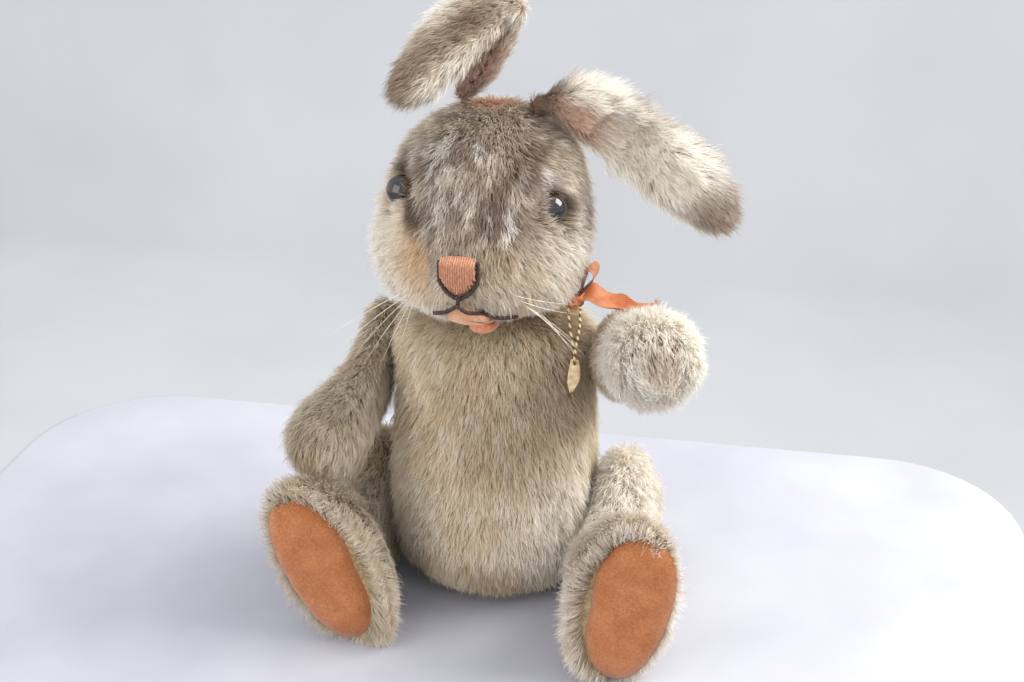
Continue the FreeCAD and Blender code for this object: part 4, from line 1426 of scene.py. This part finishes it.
def camera():
    back = Vector((
        math.sin(VIEW_AZIMUTH) * math.cos(VIEW_ELEVATION),
        -math.cos(VIEW_AZIMUTH) * math.cos(VIEW_ELEVATION),
        math.sin(VIEW_ELEVATION),
    ))
    level = Vector((math.cos(VIEW_AZIMUTH), math.sin(VIEW_AZIMUTH), 0))
    upright = back.cross(level)
    right = level * math.cos(VIEW_ROLL) + upright * math.sin(VIEW_ROLL)
    up = upright * math.cos(VIEW_ROLL) - level * math.sin(VIEW_ROLL)
    lens = bpy.data.cameras.new("camera")
    lens.lens = LENS
    lens.sensor_width = 36
    lens.clip_start = 0.01
    made = bpy.data.objects.new("camera", lens)
    turned = Matrix((right, up, back)).transposed().to_4x4()
    made.matrix_world = Matrix.Translation(TARGET + back * VIEW_DISTANCE) @ turned
    bpy.context.scene.collection.objects.link(made)
    bpy.context.scene.camera = made


def area_light(name, place, size, power, colour):
    """Soft square light that faces the rabbit."""
    lamp = bpy.data.lights.new(name, "AREA")
    lamp.size = size
    lamp.energy = power
    lamp.color = colour
    made = bpy.data.objects.new(name, lamp)
    made.location = place
    made.rotation_euler = (TARGET - Vector(place)).to_track_quat("-Z", "Y").to_euler()
    bpy.context.scene.collection.objects.link(made)


def light():
    area_light("window", (0.62, 0.16, 0.66), 0.6, 12.0, (1.0, 0.99, 0.98))
    area_light("bounce", (-0.45, -0.8, 0.5), 0.9, 5.5, (0.99, 0.98, 0.98))
    world = bpy.data.worlds.new("room")
    world.use_nodes = True
    sky = world.node_tree.nodes["Background"]
    sky.inputs["Color"].default_value = (0.90, 0.93, 1.0, 1)
    sky.inputs["Strength"].default_value = 1.25
    bpy.context.scene.world = world
    bpy.context.scene.view_settings.view_transform = "Standard"


def rounded_table():
    """Pale table top with round corners and a soft edge."""
    low, high, corner, soft = Vector((-0.186, -0.62)), Vector((0.158, 0.089)), 0.045, 0.012
    outline = []
    corners = (((high.x, high.y), 0), ((low.x, high.y), 90), ((low.x, low.y), 180), ((high.x, low.y), 270))
    for centre, start in corners:
        inward = Vector((math.copysign(corner, -centre[0]), corner if start >= 180 else -corner))
        for step in range(13):
            turn = math.radians(start + 90 * step / 12)
            outline.append(Vector(centre) + inward + Vector((math.cos(turn), math.sin(turn))) * corner)
    points, quads = [], []
    for step in range(9):
        turn = math.radians(90 * step / 8)
        grown = soft * (math.sin(turn) - 1) / 0.3
        drop = soft * (1 - math.cos(turn))
        points.extend((place.x * (1 + grown), place.y * (1 + grown), -drop) for place in outline)
    points.extend((place.x, place.y, -0.5) for place in outline)
    count = len(outline)
    for ring in range(9):
        for side in range(count):
            here, beside = ring * count + side, ring * count + (side + 1) % count
            quads.append((here, here + count, beside + count, beside))
    made = mesh_object("table", np.array(points), np.array(quads), np.zeros((0, 3), int))
    shape = bmesh.new()
    shape.from_mesh(made.data)
    shape.verts.ensure_lookup_table()
    shape.faces.new([shape.verts[index] for index in range(count)])
    shape.to_mesh(made.data)
    shape.free()
    smooth_shading(made)
    return made


def stage():
    """A pale cloth-covered table, the floor below it, and a wall well behind."""
    cloth = Finish("white_cloth", 0.85, specular=0.15)
    cloth.mottle(45.0, linear(171, 171, 178), linear(182, 182, 188))
    cloth.bump(cloth.grain(28.0, 2.0), 0.5)
    wall = Finish("wall", 0.95, specular=0.05)
    wall.mottle(300.0, linear(196, 196, 196), linear(206, 206, 205))
    table = rounded_table()
    table.data.materials.append(cloth.material)
    corners = np.array([
        (-3, 1.4, -0.5), (3, 1.4, -0.5), (3, 1.4, 3), (-3, 1.4, 3), (-3, -3, -0.5), (3, -3, -0.5),
    ])
    room = mesh_object("room", corners, np.array([(0, 1, 2, 3), (4, 5, 1, 0)]), np.zeros((0, 3), int))
    room.data.materials.append(wall.material)


# --- putting the rabbit together ----------------------------------------------------------------


def finish_piece(piece, body, material, slot, *nodes):
    """Give a piece its material, and let it move with its body in place of its CAD nodes."""
    piece.data.materials.clear()
    piece.data.materials.append(material)
    if "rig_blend" not in piece:
        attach(piece, body)
    if nodes:
        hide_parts(*nodes)


def backing_colour(piece, shade):
    """Paint a skin like the roots of its mohair, a little darker as painted shade in the gaps between the
    strands.
    """
    root, _ = shade(mesh_points(piece) / MM)
    paint(piece, root * 0.85)


def furred(
    name, body, nodes, hidden, finishes, parts, inset=1.8, voxel=SKIN_VOXEL, cross=None, shaped=None, **pile
):
    """A skin over CAD nodes and the mohair on it, in parts small enough for one piece each."""
    cover = skin(name + "_skin", nodes, inset, voxel, shaped=shaped)
    backing_colour(cover, pile["shade"])
    pieces = [cover]
    seed = pile.pop("seed")
    for part in range(parts):
        pieces.append(coat(f"{name}_mohair_{part}", cover, seed=seed + part, **pile))
    for piece in pieces:
        if cross:
            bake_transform(piece, *cross)
        finish_piece(piece, body, finishes["backing" if piece is cover else "mohair"], "mohair", *hidden)
    return cover


def filling(body, finishes, shaped=None):
    """The stuffing of a body, rounded and shaped as its skin is, so that it stays inside."""
    node = body + "_stuffing"
    piece = skin(body + "_filling", [node], 1.0, shaped=shaped)
    finish_piece(piece, body, finishes["stuffing"], "stuffing", node)


def trunk(finishes):
    inside = [
        "trunk_cover", "trunk_stuffing", "shoulder_discs", "hip_discs", "neck_lower_disc", "trunk_washers",
    ]
    furred("trunk", "trunk", inside, ["trunk_cover"], finishes, 3, count=38000, seed=101,
           length=trunk_length, lift=trunk_lift, flow=trunk_flow, shade=trunk_shade)
    filling("trunk", finishes)
    furred("tail", "trunk", ["tail"], ["tail"], finishes, 1, inset=2.0, count=8000, seed=111,
           length=lambda places: np.full(len(places), 6.5), lift=lambda places: np.full(len(places), 0.6),
           flow=lambda places, normals: toward(places, (0, 0.6, -1)), shade=trunk_shade)


def head(finishes):
    inside = [
        "head_cover", "head_stuffing", "neck_upper_disc", "neck_washer",
        "neck_pin", "eye_shanks", "eye_left", "eye_right",
    ]
    furred("head", "head", inside, ["head_cover"], finishes, 3, count=38000, seed=201, bare=head_bare,
           length=head_length, lift=head_lift, flow=head_flow, shade=head_shade)
    filling("head", finishes)
    surface = Surface("head_cover")
    finish_piece(nose_stitches(), "head", finishes["nose"], "nose_thread", "nose")
    finish_piece(nose_border(), "head", finishes["dark"], "dark_thread", "nose_outline")
    finish_piece(mouth_line(surface), "head", finishes["dark"], "dark_thread", "mouth_stitches")
    finish_piece(whisker_set(surface), "head", finishes["nylon"], "nylon", "whiskers")
    for piece, finish, node in ((mouth_felt(), "mouth", "mouth_lining"), (lip_felt(), "lip", "lower_lip")):
        finish_piece(piece, "head", finishes[finish], "felt", node)


def arm(side, finishes):
    name = "arm_" + side
    inside = [name + part for part in ("_cover", "_stuffing", "_disc", "_washer", "_pin")]
    surface = Surface(name + "_cover")
    seed = {"left": 301, "right": 302}[side]
    furred(name, name, inside, [name + "_cover"], finishes, 1, count=39000, seed=seed,
           length=lambda places: 4.6 + 1.4 * fade(arm_share(side, places), 0.5, 0.9), lift=limb_lift,
           shaped=arm_shape(side), flow=arm_flow(side), shade=arm_shade(side))
    filling(name, finishes, arm_shape(side))
    finish_piece(claw_stitches(side, surface), name, finishes["brown"], "dark_thread", name + "_claws")


def leg(side, finishes):
    name = "leg_" + side
    inside = [name + part for part in ("_cover", "_stuffing", "_disc", "_washer", "_pin")]
    surface = Surface(name + "_cover")
    seed = {"left": 401, "right": 411}[side]
    furred(name, name, inside, [name + "_cover"], finishes, 2, count=32000, seed=seed,
           bare=leg_bare(side), length=leg_length(side), lift=limb_lift, shaped=leg_shape(side),
           flow=leg_flow(side), shade=leg_shade(side))
    filling(name, finishes, leg_shape(side))
    pad_piece = sole_pad(side)
    finish_piece(pad_piece, name, finishes["felt"], "felt", name + "_sole")
    finish_piece(toe_marks(side, surface), name, finishes["brown"], "dark_thread", name + "_toes")


def ear(side, finishes):
    name = "ear_" + side
    inside = [name + part for part in ("_base_cover", "_base_lining", "_tip_cover", "_tip_lining")]
    root, fold, tip = EARS[side].line
    before = Vector(fold + 5 * (root - fold) / np.linalg.norm(root - fold)) * MM
    after = Vector(fold + 5 * (tip - fold) / np.linalg.norm(tip - fold)) * MM
    cross = (name + "_base", name + "_tip", before, after)
    seed = {"left": 501, "right": 502}[side]
    furred(name, name + "_base", inside, inside, finishes, 1, inset=0.4, voxel=0.6 * MM, cross=cross,
           shaped=ear_shape(side), count=39000, seed=seed, length=ear_length(side), lift=ear_lift(side),
           flow=ear_flow(side), shade=ear_shade(side))


def ribbon(finishes):
    band, loop, tail = ribbon_round(), ribbon_loop(), ribbon_tail()
    finish_piece(band, "trunk", finishes["ribbon"], "ribbon", "ribbon_band")
    for piece in (loop, tail, ribbon_knot(), frayed_end()):
        finish_piece(piece, "trunk", finishes["ribbon"], "ribbon", "ribbon_bow")


def tag(finishes):
    layers = tag_strip()
    for layer in layers:
        finish_piece(layer, "trunk", finishes["tag"], "tag", "hang_tag")
    string = tag_cord()
    finish_piece(string, "trunk", finishes["cord"], "cord", "tag_cord")


def carried_over(finishes):
    """Finish the CAD nodes that are kept: the eyes, and the discs, washers and pins inside."""
    kinds = {"_disc": "board", "_washer": "steel", "_pin": "steel", "_shanks": "steel"}
    for node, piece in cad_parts.items():
        kind = "eye" if node in ("eye_left", "eye_right") else None
        for ending, found in kinds.items():
            if ending in node:
                kind = found
        if kind:
            piece.data.materials.clear()
            piece.data.materials.append(finishes[kind])


EYE_POLE = tuple((np.abs(EYES["left"]) + EYE_R * np.array((0.72, 0.68, 0.08))) * MM)
finishes = {
    "mohair": mohair_finish(),
    "backing": backing_finish(),
    "felt": felt_finish("sole_felt", linear(184, 122, 80), linear(160, 98, 58)),
    "mouth": felt_finish("mouth_felt", linear(226, 178, 146), linear(202, 146, 110)),
    "lip": felt_finish("lip_felt", linear(216, 148, 110), linear(190, 112, 78)),
    "nose": thread_finish("nose_thread", linear(200, 142, 108), linear(140, 88, 62), 0.42),
    "dark": thread_finish("dark_thread", linear(66, 40, 32), linear(36, 20, 16), 0.6),
    "brown": thread_finish("brown_thread", linear(124, 92, 66), linear(82, 58, 40), 0.65),
    "nylon": nylon_finish(),
    "ribbon": ribbon_finish(),
    "cord": cord_finish(),
    "tag": tag_finish(),
    "eye": eye_finish(),
    "steel": plain_finish("steel", linear(178, 178, 180), linear(120, 120, 124), 1.2, 0.35, 1.0, (1, 1, 6)),
    "board": plain_finish("pressed_board", linear(140, 104, 70), linear(96, 68, 44), 0.8, 0.8),
    "stuffing": plain_finish(
        "stuffing", linear(226, 212, 178), linear(178, 160, 124), 1.0, 0.95, 0.0, (1, 1, 4)
    ),
}
camera()
light()
stage()
tag(finishes)
carried_over(finishes)
trunk(finishes)
head(finishes)
for side in ("left", "right"):
    arm(side, finishes)
    leg(side, finishes)
    ear(side, finishes)
ribbon(finishes)
